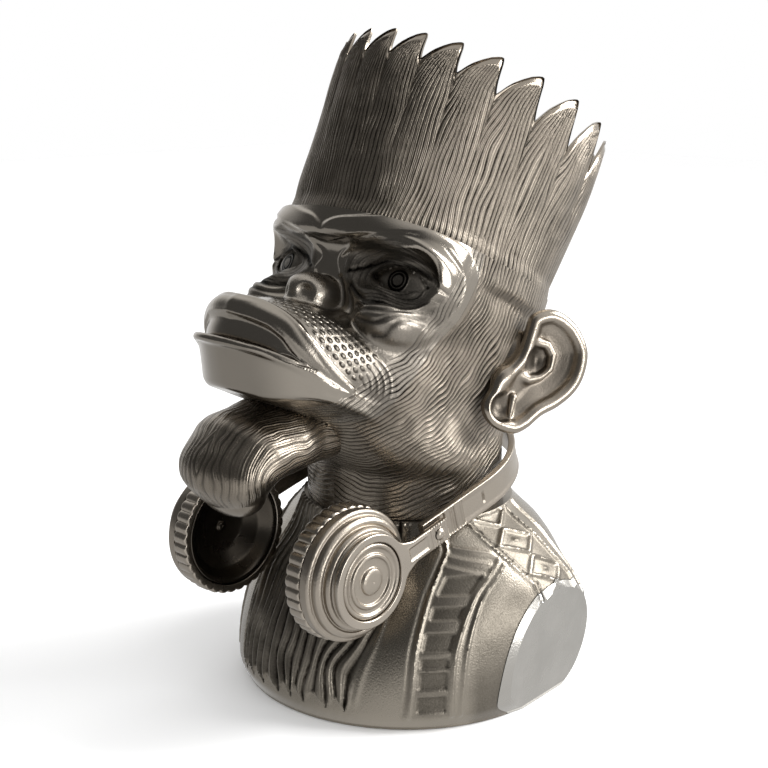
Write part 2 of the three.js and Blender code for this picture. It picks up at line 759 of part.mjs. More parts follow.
function crownProfile(angle, heightShare) {
  const foot = crownSeamHeight + seam;
  const top = crownTop(angle, heightShare);
  const ledgeFoot = ledgeHeight - ledgeThickness;
  const wallTop = ledgeHeight + ledgeThickness;
  return [
    { inset: 0, height: foot },
    { inset: 0, height: THREE.MathUtils.lerp(foot, top, 0.5) },
    { inset: 0, height: top },
    { inset: tipWall, height: top },
    { inset: crownWall, height: wallTop },
    { inset: crownWall, height: ledgeHeight },
    { radius: wellRadius, height: ledgeHeight },
    { radius: wellRadius, height: ledgeFoot },
    { inset: crownWall, height: ledgeFoot - ledgeThickness },
    { inset: crownWall, height: foot },
  ];
}

function crownForm() {
  const rows = crownProfile(0, 1).length;
  const geometry = new THREE.TorusGeometry(1, 0.5, rows, crownSides);
  const position = geometry.attributes.position;
  for (let index = 0; index < position.count; index += 1) {
    const column = (index % (crownSides + 1)) % crownSides;
    const row = Math.floor(index / (crownSides + 1)) % rows;
    const tooth = Math.floor(column / toothStepShares.length);
    const [aroundShare, heightShare] = toothStepShares[column % toothStepShares.length];
    const even = toothPhase + (2 * Math.PI * (tooth + aroundShare)) / toothCount;
    const angle = even - toothWarp * Math.sin(even);
    const { inset, radius, height } = crownProfile(angle, heightShare)[row];
    const { halfWidth, halfDepth } = crownSection(height);
    const across = radius === undefined ? halfWidth - inset : radius;
    const along = radius === undefined ? halfDepth - inset : radius;
    position.setXYZ(index, across * Math.sin(angle), -crownForward - along * Math.cos(angle), height);
  }
  return solidFrom(geometry);
}

// Bottle cup: a lift-out liner that hangs by its flange on the crown's ledge
const cupFloorTop = cupFloorHeight + cupWall;
const flangeFloor = ledgeHeight + seam;
const flangeTop = flangeFloor + cupWall;
const bottleCup = onBottleAxis(turned([
  [0, cupFloorHeight],
  [cupRadius, cupFloorHeight],
  [cupRadius, flangeFloor],
  [cupRadius + cupFlangeWidth, flangeFloor],
  [cupRadius + cupFlangeWidth, flangeTop],
  [cupRadius - cupWall, flangeTop],
  [cupRadius - cupWall, cupFloorTop],
  [0, cupFloorTop],
], 36));
const cupPad = onBottleAxis(rod(bottleRadius + bottlePlay - cupRunning, padThickness, cupFloorTop + seam, 32));

// Headphone cups
const medallionRadius = yokeRadius - yokeBand - seam;

function knurledPad() {
  const outline = new THREE.Shape();
  for (let index = 0; index < 2 * knurlCount; index += 1) {
    const angle = (Math.PI * index) / knurlCount;
    const radius = padRadius - (index % 2) * knurlDepth;
    outline[index ? 'lineTo' : 'moveTo'](radius * Math.cos(angle), radius * Math.sin(angle));
  }
  outline.holes.push(new THREE.Path().absarc(0, 0, padBore, 0, 2 * Math.PI, true));
  return solidFrom(alongX(new THREE.ExtrudeGeometry(outline, {
    depth: padWidth, bevelEnabled: false, curveSegments: 20,
  })));
}

// Stepped outside, and hollow behind the dish.
const earcupShell = solidFrom(alongX(turned([
  [0, shellTop],
  [yokeRadius, shellTop],
  [yokeRadius, shellFoot + 0.8 * shellDepth],
  [0.8 * shellLip, shellFoot + 0.75 * shellDepth],
  [0.8 * shellLip, shellFoot + 0.5 * shellDepth],
  [0.9 * shellLip, shellFoot + 0.45 * shellDepth],
  [0.94 * shellLip, shellFoot + 0.2 * shellDepth],
  [shellLip, shellFoot],
  [shellLip - shellWall, shellFoot],
  [0.8 * shellLip - shellWall, shellFoot + 0.4 * shellDepth],
  [yokeRadius - shellWall, shellTop - shellWall],
  [0, shellTop - shellWall],
], 28)));

// The bowl that shows inside the pad, with a small pip at its middle.
const dishRim = padBore - seam;
const dishFloor = dishDepth + dishWall;
const dish = solidFrom(alongX(turned([
  [0, dishDepth - 0.1 * dishDepth],
  [0.06 * dishRim, dishDepth - 0.1 * dishDepth],
  [0.08 * dishRim, dishDepth],
  [0.45 * dishRim, 0.86 * dishDepth],
  [0.75 * dishRim, 0.54 * dishDepth],
  [0.93 * dishRim, 0.1 * dishDepth],
  [dishRim, 0.1 * dishDepth],
  [dishRim, 0.5 * dishDepth],
  [0.78 * dishRim, 0.62 * dishDepth + dishWall],
  [0.45 * dishRim, 0.86 * dishDepth + dishWall],
  [0, dishFloor],
], 26)));

// The slider arm: a ring round the medallion that runs back beside the band.
function yokeForm() {
  const rest = Math.asin(armWidth / 2 / yokeRadius);
  const outline = new THREE.Shape();
  outline.absarc(0, 0, yokeRadius, rest, 2 * Math.PI - rest, false);
  outline.lineTo(armLength, -armWidth / 2);
  outline.lineTo(armLength, armWidth / 2);
  outline.closePath();
  outline.holes.push(new THREE.Path().absarc(0, 0, medallionRadius + seam, 0, 2 * Math.PI, true));
  outline.holes.push(new THREE.Path().absarc(rivetReach, 0, rivetRadius + seam, 0, 2 * Math.PI, true));
  const plate = new THREE.ExtrudeGeometry(outline, { depth: yokeThickness, bevelEnabled: false, curveSegments: 18 });
  // The plate's own x becomes the way back along the band, and its thickness points outward.
  plate.rotateX(Math.PI / 2).rotateZ(Math.PI / 2).rotateX(bandTilt);
  return solidFrom(plate.translate(yokeFoot, 0, 0));
}

const medallion = solidFrom(alongX(turned([
  [0, yokeFoot],
  [medallionRadius, yokeFoot],
  [medallionRadius, yokeFoot + 0.5 * medallionThickness],
  [0.9 * medallionRadius, yokeFoot + 0.7 * medallionThickness],
  [0.5 * medallionRadius, yokeFoot + 0.7 * medallionThickness],
  [0.4 * medallionRadius, yokeFoot + medallionThickness],
  [0, yokeFoot + medallionThickness],
], 28)));

const rivet = solidFrom(alongX(
  screw(rivetHeadRadius, rivetHeadHeight, rivetRadius, yokeThickness + bandThickness + 2 * seam, 14),
).translate(yokeFoot + yokeThickness + seam, rivetReach * Math.cos(bandTilt), rivetReach * Math.sin(bandTilt)));

// Assembly

function headphoneSide(side, place) {
  const group = new THREE.Group();
  group.position.set((side * cupSpacing) / 2, -cupForward, cupHeight);
  const sided = (solid) => (side > 0 ? solid : mirroredX(solid));
  group.add(
    piece(`ear_pad_${place}`, sided(knurledPad()), polishedMetal),
    piece(`earcup_${place}`, sided(earcupShell), castMetal),
    piece(`dish_${place}`, sided(dish), darkMetal),
    piece(`yoke_${place}`, sided(yokeForm()), polishedMetal),
    piece(`medallion_${place}`, sided(medallion), castMetal),
    piece(`band_rivet_${place}`, sided(rivet), polishedMetal),
  );
  return group;
}

const figure = new THREE.Group();
figure.add(
  piece('torso_shell', torsoShell, castMetal),
  piece('arm_cap_left', armCap, polishedMetal),
  piece('arm_cap_right', mirroredX(armCap), polishedMetal),
  piece('base_plate', basePlate, castMetal),
  piece('base_felt', baseFelt, felt),
  ...baseScrews.map((solid, index) => piece(`base_screw_${index + 1}`, solid, steel)),
  ...neckBolts.map((solid, index) => piece(`neck_bolt_${index + 1}`, solid, steel)),
  piece('headband', headband, castMetal),
  piece('band_screw', bandScrew, steel),
  headphoneSide(1, 'left'),
  headphoneSide(-1, 'right'),
);

headFrame.add(
  piece('head_shell', headShell, castMetal),
  piece('face_mask', faceMask, polishedMetal),
  piece('lower_jaw', lowerJaw, polishedMetal),
  piece('goatee', goatee, castMetal),
  piece('ear_left', leftEar, castMetal),
  piece('ear_right', rightEar, castMetal),
  piece('hair_crown', crownForm(), castMetal),
  piece('bottle_cup', bottleCup, steel),
  piece('cup_pad', cupPad, cork),
);
figure.add(headFrame);

export default figure;
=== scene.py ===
# %% [markdown]
# # A cast monkey bust that holds a wine bottle
#
# The real thing is a sand casting in aluminium, about 33 cm tall. A founder pours the bust, the
# head and the crown of hair, then a chaser sharpens the hair with a graver, darkens the metal and
# buffs the high places bright again: the brow, the nose, the lips, the jaw and the cut arm stumps.
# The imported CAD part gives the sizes, the places and the motion. This script gives every casting
# the form and the finish that a chaser would leave on it.

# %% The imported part
import itertools
import math
import bmesh
import bpy
import numpy as np
from mathutils import Matrix, Vector


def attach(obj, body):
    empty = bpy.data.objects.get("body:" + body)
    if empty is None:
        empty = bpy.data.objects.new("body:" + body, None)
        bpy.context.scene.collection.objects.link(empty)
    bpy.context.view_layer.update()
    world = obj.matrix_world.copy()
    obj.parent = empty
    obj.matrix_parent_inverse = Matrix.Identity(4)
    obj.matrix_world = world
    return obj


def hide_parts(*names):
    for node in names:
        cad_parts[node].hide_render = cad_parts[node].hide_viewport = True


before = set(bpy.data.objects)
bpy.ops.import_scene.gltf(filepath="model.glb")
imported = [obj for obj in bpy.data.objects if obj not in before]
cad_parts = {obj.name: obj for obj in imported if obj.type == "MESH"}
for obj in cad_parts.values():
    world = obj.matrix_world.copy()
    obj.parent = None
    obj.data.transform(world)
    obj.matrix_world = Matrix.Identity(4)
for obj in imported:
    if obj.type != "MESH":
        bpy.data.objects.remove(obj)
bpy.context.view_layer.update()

# %% [markdown]
# ## Measuring tools
#
# A clay form is built up from rounded lumps that are smoothed into each other. Here a lump is a
# field: a number for every point, negative inside the metal and close to a distance in millimetres.
# Two lumps blend where their fields are nearly equal, as a thumb would smooth clay between them.

# %% The head's own frame
HEAD_HALF = np.array([58.0, 66.0, 62.0])   # half the head's width, depth and height
TILT = math.radians(26)
HEAD_MIDDLE = np.array([0, 20, 180.6])
CAST_WALL = 4.5
AXIS_FORWARD = 20.0                         # the bottle's axis, forward of the head's middle
CROWN_FOOT, CROWN_TOP = 26.0, 115.0
WELL_RADIUS = 49.6
SEAM = 0.05


def to_world(points):
    """From the head's own frame (side, forward, up) to the figure's frame, in mm."""
    x, f, w = points.T
    c, s = math.cos(TILT), math.sin(TILT)
    return np.stack([x, -f * c + w * s, f * s + w * c], 1) + HEAD_MIDDLE


def to_head(points):
    """From the figure's frame back to the head's own frame."""
    x, y, z = (points - HEAD_MIDDLE).T
    c, s = math.cos(TILT), math.sin(TILT)
    return np.stack([x, -(y * c - z * s), y * s + z * c], 1)

# %% [markdown]
# ### Lumps, bars and how they meet
#
# A soft step, a soft join and a soft cut are the three moves of the whole model. Lumps and tapering
# bars are the clay. All of them take every point at once, which keeps the sculpting fast.

# %% Lumps and bars
def smooth_step(value, start, end):
    share = np.clip((value - start) / (end - start), 0, 1)
    return share * share * (3 - 2 * share)


def blend(first, second, width):
    share = np.clip(0.5 + (second - first) / (2 * width), 0, 1)
    return second + (first - second) * share - width * share * (1 - share)


def carve(metal, tool, width):
    return -blend(-metal, tool, width)


def lobe(points, centre, half):
    """A lump with three half sizes."""
    near = slope = 0
    for value, middle, size in zip(points.T, centre, half):
        a = (value - middle) / size
        near = near + a * a
        slope = slope + a * a / size ** 2
    near = np.sqrt(near)
    return near * (near - 1) / (np.sqrt(slope) + 1e-9)


def gap_to_line(points, start, end):
    """For each point its distance to a straight line, and the share of the line at the nearest place."""
    along = end - start
    share = np.clip((points - start) @ along / (along @ along), 0, 1)
    total = 0
    for value, first, step in zip(points.T, start, along):
        gap = value - first - share * step
        total = total + gap * gap
    return np.sqrt(total), share


def roll(points, start, end, radius, end_radius=None):
    """A round bar between two points, which may taper."""
    start, end = np.array(start, points.dtype), np.array(end, points.dtype)
    gap, share = gap_to_line(points, start, end)
    return gap - radius - ((radius if end_radius is None else end_radius) - radius) * share

# %% [markdown]
# ### Curves and unevenness
#
# Lips, folds and locks follow smooth curves through a few measured points. Hand work is never quite
# even, so a smooth seeded noise shifts the strands and the depth of the grooves.

# %% Curves and noise
def curve_through(points, steps=6):
    """A smooth curve through a list of points."""
    points = np.array(points, float)
    ends = np.vstack([2 * points[0] - points[1], points, 2 * points[-1] - points[-2]])
    t = np.linspace(0, 1, steps, endpoint=False)[:, None]
    spans = []
    for a, b, c, d in zip(ends, ends[1:], ends[2:], ends[3:]):
        spans.append(0.5 * (2 * b + (c - a) * t + (2 * a - 5 * b + 4 * c - d) * t ** 2
                            + (3 * b - a - 3 * c + d) * t ** 3))
    return np.vstack([*spans, points[-1:]])


def along_curve(points, curve):
    """For each point its distance to a curve, and how far along the curve the nearest place is."""
    best = np.full(len(points), 1e6)
    reach = np.zeros(len(points))
    run = 0.0
    for start, end in zip(curve[:-1], curve[1:]):
        length = math.dist(start, end)
        far, share = gap_to_line(points, start, end)
        nearer = far < best
        best = np.where(nearer, far, best)
        reach = np.where(nearer, run + length * share, reach)
        run += length
    return best, reach


LATTICE = np.random.default_rng(11).random((32, 32, 32))


def noise(points, size):
    """Smooth seeded noise between -1 and 1, whose lumps are about the given size in mm."""
    place = points / size
    cell = np.floor(place).astype(int)
    share = place - cell
    share = share * share * (3 - 2 * share)
    total = np.zeros(len(points))
    for corner in itertools.product((0, 1), repeat=3):
        weight = np.where(corner, share, 1 - share).prod(1)
        index = (cell + corner) % 32
        total += weight * LATTICE[index[:, 0], index[:, 1], index[:, 2]]
    return 2 * total - 1


# %% [markdown]
# ## From clay to a closed skin
#
# The skin of a form is found on a fine grid of cubes: one corner point in every cube that the
# surface passes through, and one square wherever two neighbouring grid points lie on different
# sides of it. Only cubes near the surface are worked out. The points are then pulled on to the
# surface itself, so that the skin is as smooth as the form.

# %% A skin round a form
def skin(field, low, high, pitch):
    """Points and square faces of the closed surface where the field is zero."""
    low = np.array(low, float)
    block = 4
    blocks = np.ceil((np.array(high) - low) / pitch / block).astype(int)
    heart = np.stack(np.meshgrid(*[np.arange(n) + 0.5 for n in blocks], indexing="ij"), -1).reshape(-1, 3)
    coarse = field((low + heart * block * pitch).astype(np.float32))
    near = np.nonzero(np.abs(coarse) < 5.2 * pitch)[0]
    grid = np.full(blocks * block + 1, 1e3)
    filled = np.where(coarse < 0, -1e3, 1e3).reshape(blocks)
    grid[:-1, :-1, :-1] = filled.repeat(block, 0).repeat(block, 1).repeat(block, 2)
    inner = np.stack(np.meshgrid(*[np.arange(block + 1)] * 3, indexing="ij"), -1).reshape(-1, 3)
    corners = np.stack(np.unravel_index(near, blocks), -1) * block
    for start in range(0, len(corners), 2000):
        index = (corners[start:start + 2000, None] + inner).reshape(-1, 3)
        grid[tuple(index.T)] = field((low + index * pitch).astype(np.float32))
    untangle(grid)
    points, faces = squares(grid)
    points = low + points * pitch
    for _ in range(2):
        value, slope = slope_of(field, points, pitch / 4)
        points -= np.clip(value, -pitch / 2, pitch / 2)[:, None] * slope
    return points, faces


def untangle(grid):
    """Fills the grid where metal touches itself along a single edge, which no solid can do."""
    for u, v in 3 * [(0, 1), (1, 2), (2, 0)]:
        turned = np.moveaxis(grid, (u, v), (0, 1)) < 0
        a, b, c, d = turned[:-1, :-1], turned[1:, :-1], turned[:-1, 1:], turned[1:, 1:]
        for cell in np.argwhere((a == d) & (b == c) & (a != b)):
            view = np.moveaxis(grid, (u, v), (0, 1))
            patch = view[cell[0]:cell[0] + 2, cell[1]:cell[1] + 2, cell[2]]
            patch[patch >= 0] = -0.01


def slope_of(field, points, step=0.2):
    """The field at each point and the unit direction in which it grows."""
    value = field(points)
    slope = np.stack([field(points + step * axis) - value for axis in np.eye(3)], 1)
    return value, slope / (np.sqrt((slope * slope).sum(1)) + 1e-9)[:, None]

# %% [markdown]
# ### The squares of the skin
#
# Each square joins the four cubes round one edge of the grid, and faces outward from the metal.

# %% Squares between the grid points
def squares(grid):
    inside = grid < 0
    size = np.array(grid.shape)
    corners = list(itertools.product((0, 1), repeat=3))
    count = sum(
        inside[i:size[0] - 1 + i, j:size[1] - 1 + j, k:size[2] - 1 + k].astype(np.int8)
        for i, j, k in corners
    )
    cells = np.argwhere((count > 0) & (count < 8))
    names = np.full(size - 1, -1)
    names[tuple(cells.T)] = np.arange(len(cells))
    total, hits = np.zeros((len(cells), 3)), np.zeros(len(cells))
    for a in corners:
        for axis in range(3):
            if a[axis]:
                continue
            b = np.array(a) + np.eye(3, dtype=int)[axis]
            first = grid[tuple((cells + a).T)]
            second = grid[tuple((cells + b).T)]
            crosses = (first < 0) != (second < 0)
            place = np.tile(np.array(a, float), (crosses.sum(), 1))
            place[:, axis] += first[crosses] / (first[crosses] - second[crosses])
            total[crosses] += place
            hits[crosses] += 1
    faces = []
    for axis in range(3):
        u, v = (axis + 1) % 3, (axis + 2) % 3
        head, tail = [slice(None)] * 3, [slice(None)] * 3
        head[axis], tail[axis] = slice(0, -1), slice(1, None)
        edge = np.argwhere(inside[tuple(head)] != inside[tuple(tail)])
        edge = edge[((edge[:, [u, v]] > 0) & (edge[:, [u, v]] < size[[u, v]] - 1)).all(1)]
        around = []
        for du, dv in ((1, 1), (0, 1), (0, 0), (1, 0)):
            cell = edge.copy()
            cell[:, u] -= du
            cell[:, v] -= dv
            around.append(names[tuple(cell.T)])
        face = np.stack(around, 1)
        outward = ~inside[tuple(edge.T)]
        face[outward] = face[outward][:, ::-1]
        faces.append(face)
    faces = np.vstack(faces)
    return cells + total / hits[:, None], faces[(faces >= 0).all(1)]


# %% [markdown]
# ## Making pieces and cutting them apart
#
# Each casting starts as one blank. Knives with flat faces then part the face, the jaw and the hair
# from it, so that the seams are as crisp as those between real castings.

# %% Meshes, knives and cuts
def add_object(name, points, faces):
    """Adds a mesh whose points are given in mm in the figure's frame."""
    mesh = bpy.data.meshes.new(name)
    mesh.from_pydata((np.asarray(points) / 1000).tolist(), [], [list(face) for face in faces])
    mesh.validate()
    made = bpy.data.objects.new(name, mesh)
    bpy.context.scene.collection.objects.link(made)
    return made


def ring_faces(rows, sides):
    """Square faces of a closed tube of rings, whose last ring joins its first."""
    index = np.arange(rows * sides).reshape(rows, sides)
    right, following = np.roll(index, -1, 1), np.roll(index, -1, 0)
    return np.stack([index, right, np.roll(right, -1, 0), following], -1).reshape(-1, 4)


def points_of(obj):
    """The points of a piece, in mm."""
    flat = np.empty(3 * len(obj.data.vertices))
    obj.data.vertices.foreach_get("co", flat)
    return 1000 * flat.reshape(-1, 3)


def cut(obj, tool, operation="DIFFERENCE"):
    """Cuts a closed piece with a closed tool."""
    modifier = obj.modifiers.new("cut", "BOOLEAN")
    modifier.object = tool
    modifier.operation = operation
    modifier.solver = "MANIFOLD"
    bpy.context.view_layer.update()
    shown = obj.evaluated_get(bpy.context.evaluated_depsgraph_get())
    mesh = bpy.data.meshes.new_from_object(shown)
    obj.modifiers.clear()
    old, obj.data = obj.data, mesh
    bpy.data.meshes.remove(old)
    if not obj.data.vertices:
        raise RuntimeError(f"{obj.name}: nothing is left after a cut")
    return obj


def copy_of(obj, name):
    made = bpy.data.objects.new(name, obj.data.copy())
    bpy.context.scene.collection.objects.link(made)
    return made


def discard(*objects):
    for obj in objects:
        bpy.data.objects.remove(obj)


TOOLS = []


def hull(name, points):
    """The closed hull of a few points, as a knife or a core."""
    made = bmesh.new()
    for point in points:
        made.verts.new(Vector(point) / 1000)
    bmesh.ops.convex_hull(made, input=made.verts)
    bmesh.ops.recalc_face_normals(made, faces=made.faces)
    mesh = bpy.data.meshes.new(name)
    made.to_mesh(mesh)
    made.free()
    tool = bpy.data.objects.new(name, mesh)
    bpy.context.scene.collection.objects.link(tool)
    TOOLS.append(tool)
    return tool


def box_between(name, low, high, place=lambda points: points):
    corners = np.array(list(itertools.product(*zip(low, high))), float)
    return hull(name, place(corners))


def rod_between(name, radius, low, high, place=lambda points: points, sides=96):
    angle = np.arange(sides) * 2 * math.pi / sides
    ring = np.stack([radius * np.cos(angle), radius * np.sin(angle)], 1)
    ends = [np.column_stack([ring, np.full(sides, height)]) for height in (low, high)]
    return hull(name, place(np.vstack(ends)))

# %% [markdown]
# ### Finishing a piece
#
# A finished piece is shaded smoothly but for its sharp edges, rides on its body, and takes the place
# of the solid that it dresses. Its marks travel with its points.

# %% Handing a piece over
def finish_piece(obj, material, body, nodes, crisp=50):
    """Smooths the shading but for edges sharper than an angle, ties the piece to its body and hides the
    solids that it stands for.
    """
    mesh = obj.data
    mesh.materials.clear()
    mesh.materials.append(material)
    mesh.polygons.foreach_set("use_smooth", np.ones(len(mesh.polygons), bool))
    mesh.set_sharp_from_angle(angle=math.radians(crisp))
    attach(obj, body)
    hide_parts(*nodes)
    triangles = sum(len(face.vertices) - 2 for face in mesh.polygons)
    print(f"{obj.name}: {triangles} triangles")


def one_phase(phase):
    """Strands that run one way only, for the material."""
    return np.stack([phase, phase, np.ones(len(phase))], 1)


def set_marks(obj, name, values):
    """Stores a number or three for each point, for the material to read."""
    values = np.asarray(values, np.float32)
    kind = "FLOAT" if values.ndim == 1 else "FLOAT_VECTOR"
    layer = obj.data.attributes.new(name, kind, "POINT")
    layer.data.foreach_set("value" if values.ndim == 1 else "vector", values.ravel())


# %% [markdown]
# ## The metals
#
# Everything but the felt and the cork is metal. The castings are aluminium with a warm, dark
# patina that stays in the grooves, and each ridge is rubbed bright. Numbers on the points of a
# piece say where its hair runs, where it is polished, where patina stays, and where light or shade
# is painted, and the material turns them into grooves finer than the mesh.

# %% Colours and shader nodes
def linear(colour):
    """A colour from sRGB hex to the renderer's linear values."""
    parts = [int(colour[i:i + 2], 16) / 255 for i in (0, 2, 4)]
    return (*[v / 12.92 if v <= 0.04045 else ((v + 0.055) / 1.055) ** 2.4 for v in parts], 1.0)


def add(tree, kind, inputs=None, out=0, **settings):
    """Adds a node with its settings, sets or links its inputs, and gives one of its outputs."""
    made = tree.nodes.new(kind)
    for key, value in settings.items():
        setattr(made, key, value)
    for key, value in (inputs or {}).items():
        if isinstance(value, bpy.types.NodeSocket):
            tree.links.new(value, made.inputs[key])
        else:
            made.inputs[key].default_value = value
    return made.outputs[out]


def math_of(tree, operation, *values, clamp=False):
    return add(tree, "ShaderNodeMath", dict(enumerate(values)), operation=operation, use_clamp=clamp)


def new_material(name):
    material = bpy.data.materials.new(name)
    material.use_nodes = True
    tree = material.node_tree
    return material, tree, tree.nodes["Principled BSDF"].inputs


def groove_of(tree, phase, sharpness):
    """A thin groove wherever a phase is a whole number: 1 at its bottom and 0 on the ridge."""
    wave = math_of(tree, "COSINE", math_of(tree, "MULTIPLY", phase, math.pi))
    return math_of(tree, "POWER", math_of(tree, "ABSOLUTE", wave), sharpness)

# %% [markdown]
# ### Cast and chased metal
#
# The foundry leaves a sandy grain, the chaser leaves grooves, and handling leaves stains. The dark
# patina is a second colour of the same metal, and rubbing takes it off the ridges.

# %% Chased castings
def cast_metal(name, light, dark, rough, polished_rough, hair=0.0, grain=0.25, pattern=None):
    """Chased and patinated aluminium. Reads the piece's strands, its polish with any painted light, and its
    patina with any painted shade.
    """
    material, tree, shader = new_material(name)
    place = add(tree, "ShaderNodeTexCoord", out=3)
    polish_and_light = add(tree, "ShaderNodeAttribute", attribute_name="polish_and_light", out=2)
    patina_and_shade = add(tree, "ShaderNodeAttribute", attribute_name="patina_and_shade", out=2)
    # Sand-cast grain about 0.8 mm across, and stains about 12 mm across.
    fine = add(tree, "ShaderNodeTexNoise", {"Vector": place, "Scale": 1250.0, "Detail": 3.0})
    stain = add(tree, "ShaderNodeTexNoise", {"Vector": place, "Scale": 80.0, "Detail": 4.0})
    height = math_of(tree, "MULTIPLY", fine, grain)
    shade = math_of(tree, "MULTIPLY", math_of(tree, "SUBTRACT", fine, 0.5), 0.5)
    if hair:
        strands = add(tree, "ShaderNodeAttribute", attribute_name="strands", out=1)
        split = tree.nodes.new("ShaderNodeSeparateXYZ")
        tree.links.new(strands, split.inputs[0])
        amount = add(tree, "ShaderNodeAttribute", attribute_name="hair", out=2)
        first = groove_of(tree, split.outputs[0], 5.0)
        second = groove_of(tree, split.outputs[1], 5.0)
        deep = add(tree, "ShaderNodeMix", {0: split.outputs[2], 2: first, 3: second})
        thin_a = groove_of(tree, math_of(tree, "MULTIPLY", split.outputs[0], 3.0), 3.0)
        thin_b = groove_of(tree, math_of(tree, "MULTIPLY", split.outputs[1], 3.0), 3.0)
        thin = add(tree, "ShaderNodeMix", {0: split.outputs[2], 2: thin_a, 3: thin_b})
        worn = math_of(tree, "MULTIPLY_ADD", stain, 1.6, -0.15, clamp=True)
        groove = math_of(tree, "MULTIPLY", math_of(tree, "MULTIPLY", deep, amount), worn)
        scratch = math_of(tree, "MULTIPLY", math_of(tree, "MULTIPLY", thin, amount), 0.28)
        height = math_of(tree, "SUBTRACT", height, math_of(tree, "MULTIPLY", groove, hair))
        height = math_of(tree, "SUBTRACT", height, scratch)
        shade = math_of(tree, "ADD", shade, math_of(tree, "MULTIPLY", groove, 0.85))
        shade = math_of(tree, "ADD", shade, math_of(tree, "MULTIPLY", scratch, 0.5))
    if pattern:
        extra_height, extra_shade = pattern(tree)
        height = math_of(tree, "ADD", height, extra_height)
        shade = math_of(tree, "ADD", shade, extra_shade)
    # The patina mark darkens the colour; on the torso's side panels it also holds painted shade.
    shade = math_of(tree, "ADD", shade, patina_and_shade)
    stained = math_of(tree, "MULTIPLY", math_of(tree, "SUBTRACT", stain, 0.5), 0.45)
    shade = math_of(tree, "ADD", shade, stained)
    # Polish lightens and smooths the metal; under the jaw and on the goatee the lighter colour is painted
    # light.
    keep = math_of(tree, "SUBTRACT", 1.0, math_of(tree, "MULTIPLY", polish_and_light, 0.75))
    shade = math_of(tree, "MULTIPLY", shade, keep, clamp=True)
    colour = add(tree, "ShaderNodeMix", {0: shade, 6: linear(light), 7: linear(dark)}, 2, data_type="RGBA")
    tree.links.new(colour, shader["Base Color"])
    shader["Metallic"].default_value = 1.0
    plain = math_of(tree, "MULTIPLY_ADD", shade, 0.25, rough)
    roughness = add(tree, "ShaderNodeMix", {0: polish_and_light, 2: plain, 3: polished_rough})
    tree.links.new(roughness, shader["Roughness"])
    bump = add(tree, "ShaderNodeBump", {"Height": math_of(tree, "MULTIPLY", height, keep),
                                        "Strength": 1.0, "Distance": 0.0006})
    tree.links.new(bump, shader["Normal"])
    return material

# %% [markdown]
# ### Turned and ground metal
#
# Headphones, liner and cut faces have no hair. A faint stain and a fine grain are enough.

# %% Turned and ground metal
def plain_metal(name, light, rough, grain=0.08, streak=None):
    """Turned or brushed metal without marks on its points."""
    material, tree, shader = new_material(name)
    place = add(tree, "ShaderNodeTexCoord", out=3)
    if streak:
        place = add(tree, "ShaderNodeMapping", {"Vector": place, "Scale": streak})
    fine = add(tree, "ShaderNodeTexNoise", {"Vector": place, "Scale": 900.0, "Detail": 3.0})
    stain = add(tree, "ShaderNodeTexNoise", {"Vector": place, "Scale": 60.0, "Detail": 3.0})
    colour = add(tree, "ShaderNodeMix", {0: stain, 6: linear(light),
                                         7: [0.72 * v for v in linear(light)[:3]] + [1]}, 2, data_type="RGBA")
    tree.links.new(colour, shader["Base Color"])
    shader["Metallic"].default_value = 1.0
    tree.links.new(math_of(tree, "MULTIPLY_ADD", stain, 0.16, rough - 0.06), shader["Roughness"])
    bump = add(tree, "ShaderNodeBump", {"Height": math_of(tree, "MULTIPLY", fine, grain), "Strength": 1.0,
                                        "Distance": 0.0005})
    tree.links.new(bump, shader["Normal"])
    return material


# %% [markdown]
# ## The head in clay
#
# A skull lump, a neck, cheeks and a brow ridge, then the muzzle with its two protruding lips. All
# of it is mirrored about the middle, so only the left half is described.

# %% The head's lumps
# side, forward and up, then half sizes, all as shares of the head's half sizes, then the blend
SKULL = [
    [0, 0.21, 0.06, 1, 1, 1, 0],
    [0, 0.03, -0.55, 0.91, 0.79, 0.81, 0.31],
    [0.38, 0.7, -0.68, 0.55, 0.55, 0.55, 0.24],
    [0.55, 0.76, 0.13, 0.5, 0.55, 0.52, 0.17],
    [0, 0.95, 0.34, 0.94, 0.42, 0.21, 0.14],
    [0.67, 1.02, -0.31, 0.27, 0.28, 0.19, 0.1],
    [0, 0.18, -1.06, 0.93, 0.88, 0.39, 0.24],
]
MUZZLE = [
    [0, 1.18, -0.74, 0.76, 0.7, 0.42, 0],
    [0, 1.44, -0.7, 0.53, 0.45, 0.25, 0.17],
]
FACE_ROOT = [0, 1.18, -0.74, 0.71, 0.66, 0.38, 0.2]
EYE = np.array([35.5, 61.3, 0.5])
EYEBALL_HALF, LIDS_HALF = (17, 11.6, 12), (20, 13.4, 12.5)
FACE_CORNERS = [[0.98, 0.65, 0.7], [0.98, 0.65, 0.19], [0.97, 0.68, -0.11], [0.86, 0.86, -0.4],
                [0.79, 0.94, -0.97], [0.52, 1.39, -1.21], [0, 1.58, -1.22]]
FACE_HEART = np.array([0, 0.3, -0.24]) * HEAD_HALF
FACE_EDGE = np.array(FACE_CORNERS) * HEAD_HALF


# The lips from the middle to the corner of the mouth: side, forward, up and radius, in mm.
UPPER_LIP = [(0, 125, -35.2, 5.8), (12, 122.2, -35.4, 5.8), (23.6, 115.8, -38, 5.6), (30, 109.8, -43, 5.2),
             (35, 102, -48, 4.5), (39.2, 93.8, -52, 3.7), (43, 83.6, -55.4, 2.6)]
LIP_EDGE = [(0, 126.4, -30.6, 1.5), (11.5, 124, -30.6, 1.6), (24, 118, -33.2, 1.7), (32.4, 111.6, -38.8, 1.7),
            (37.6, 104, -44.8, 1.6), (41.8, 95.4, -50.2, 1.5), (45, 84.8, -54.6, 1.2)]
LOWER_LIP = [(0, 131.9, -52.4, 1.8), (9, 131.1, -52.4, 1.8), (17, 127.9, -52.2, 1.8), (24, 121.9, -51.8, 1.7),
             (31, 112.6, -52.2, 1.6), (36, 103.4, -54.3, 1.5), (40.6, 91.8, -56.8, 1.3)]
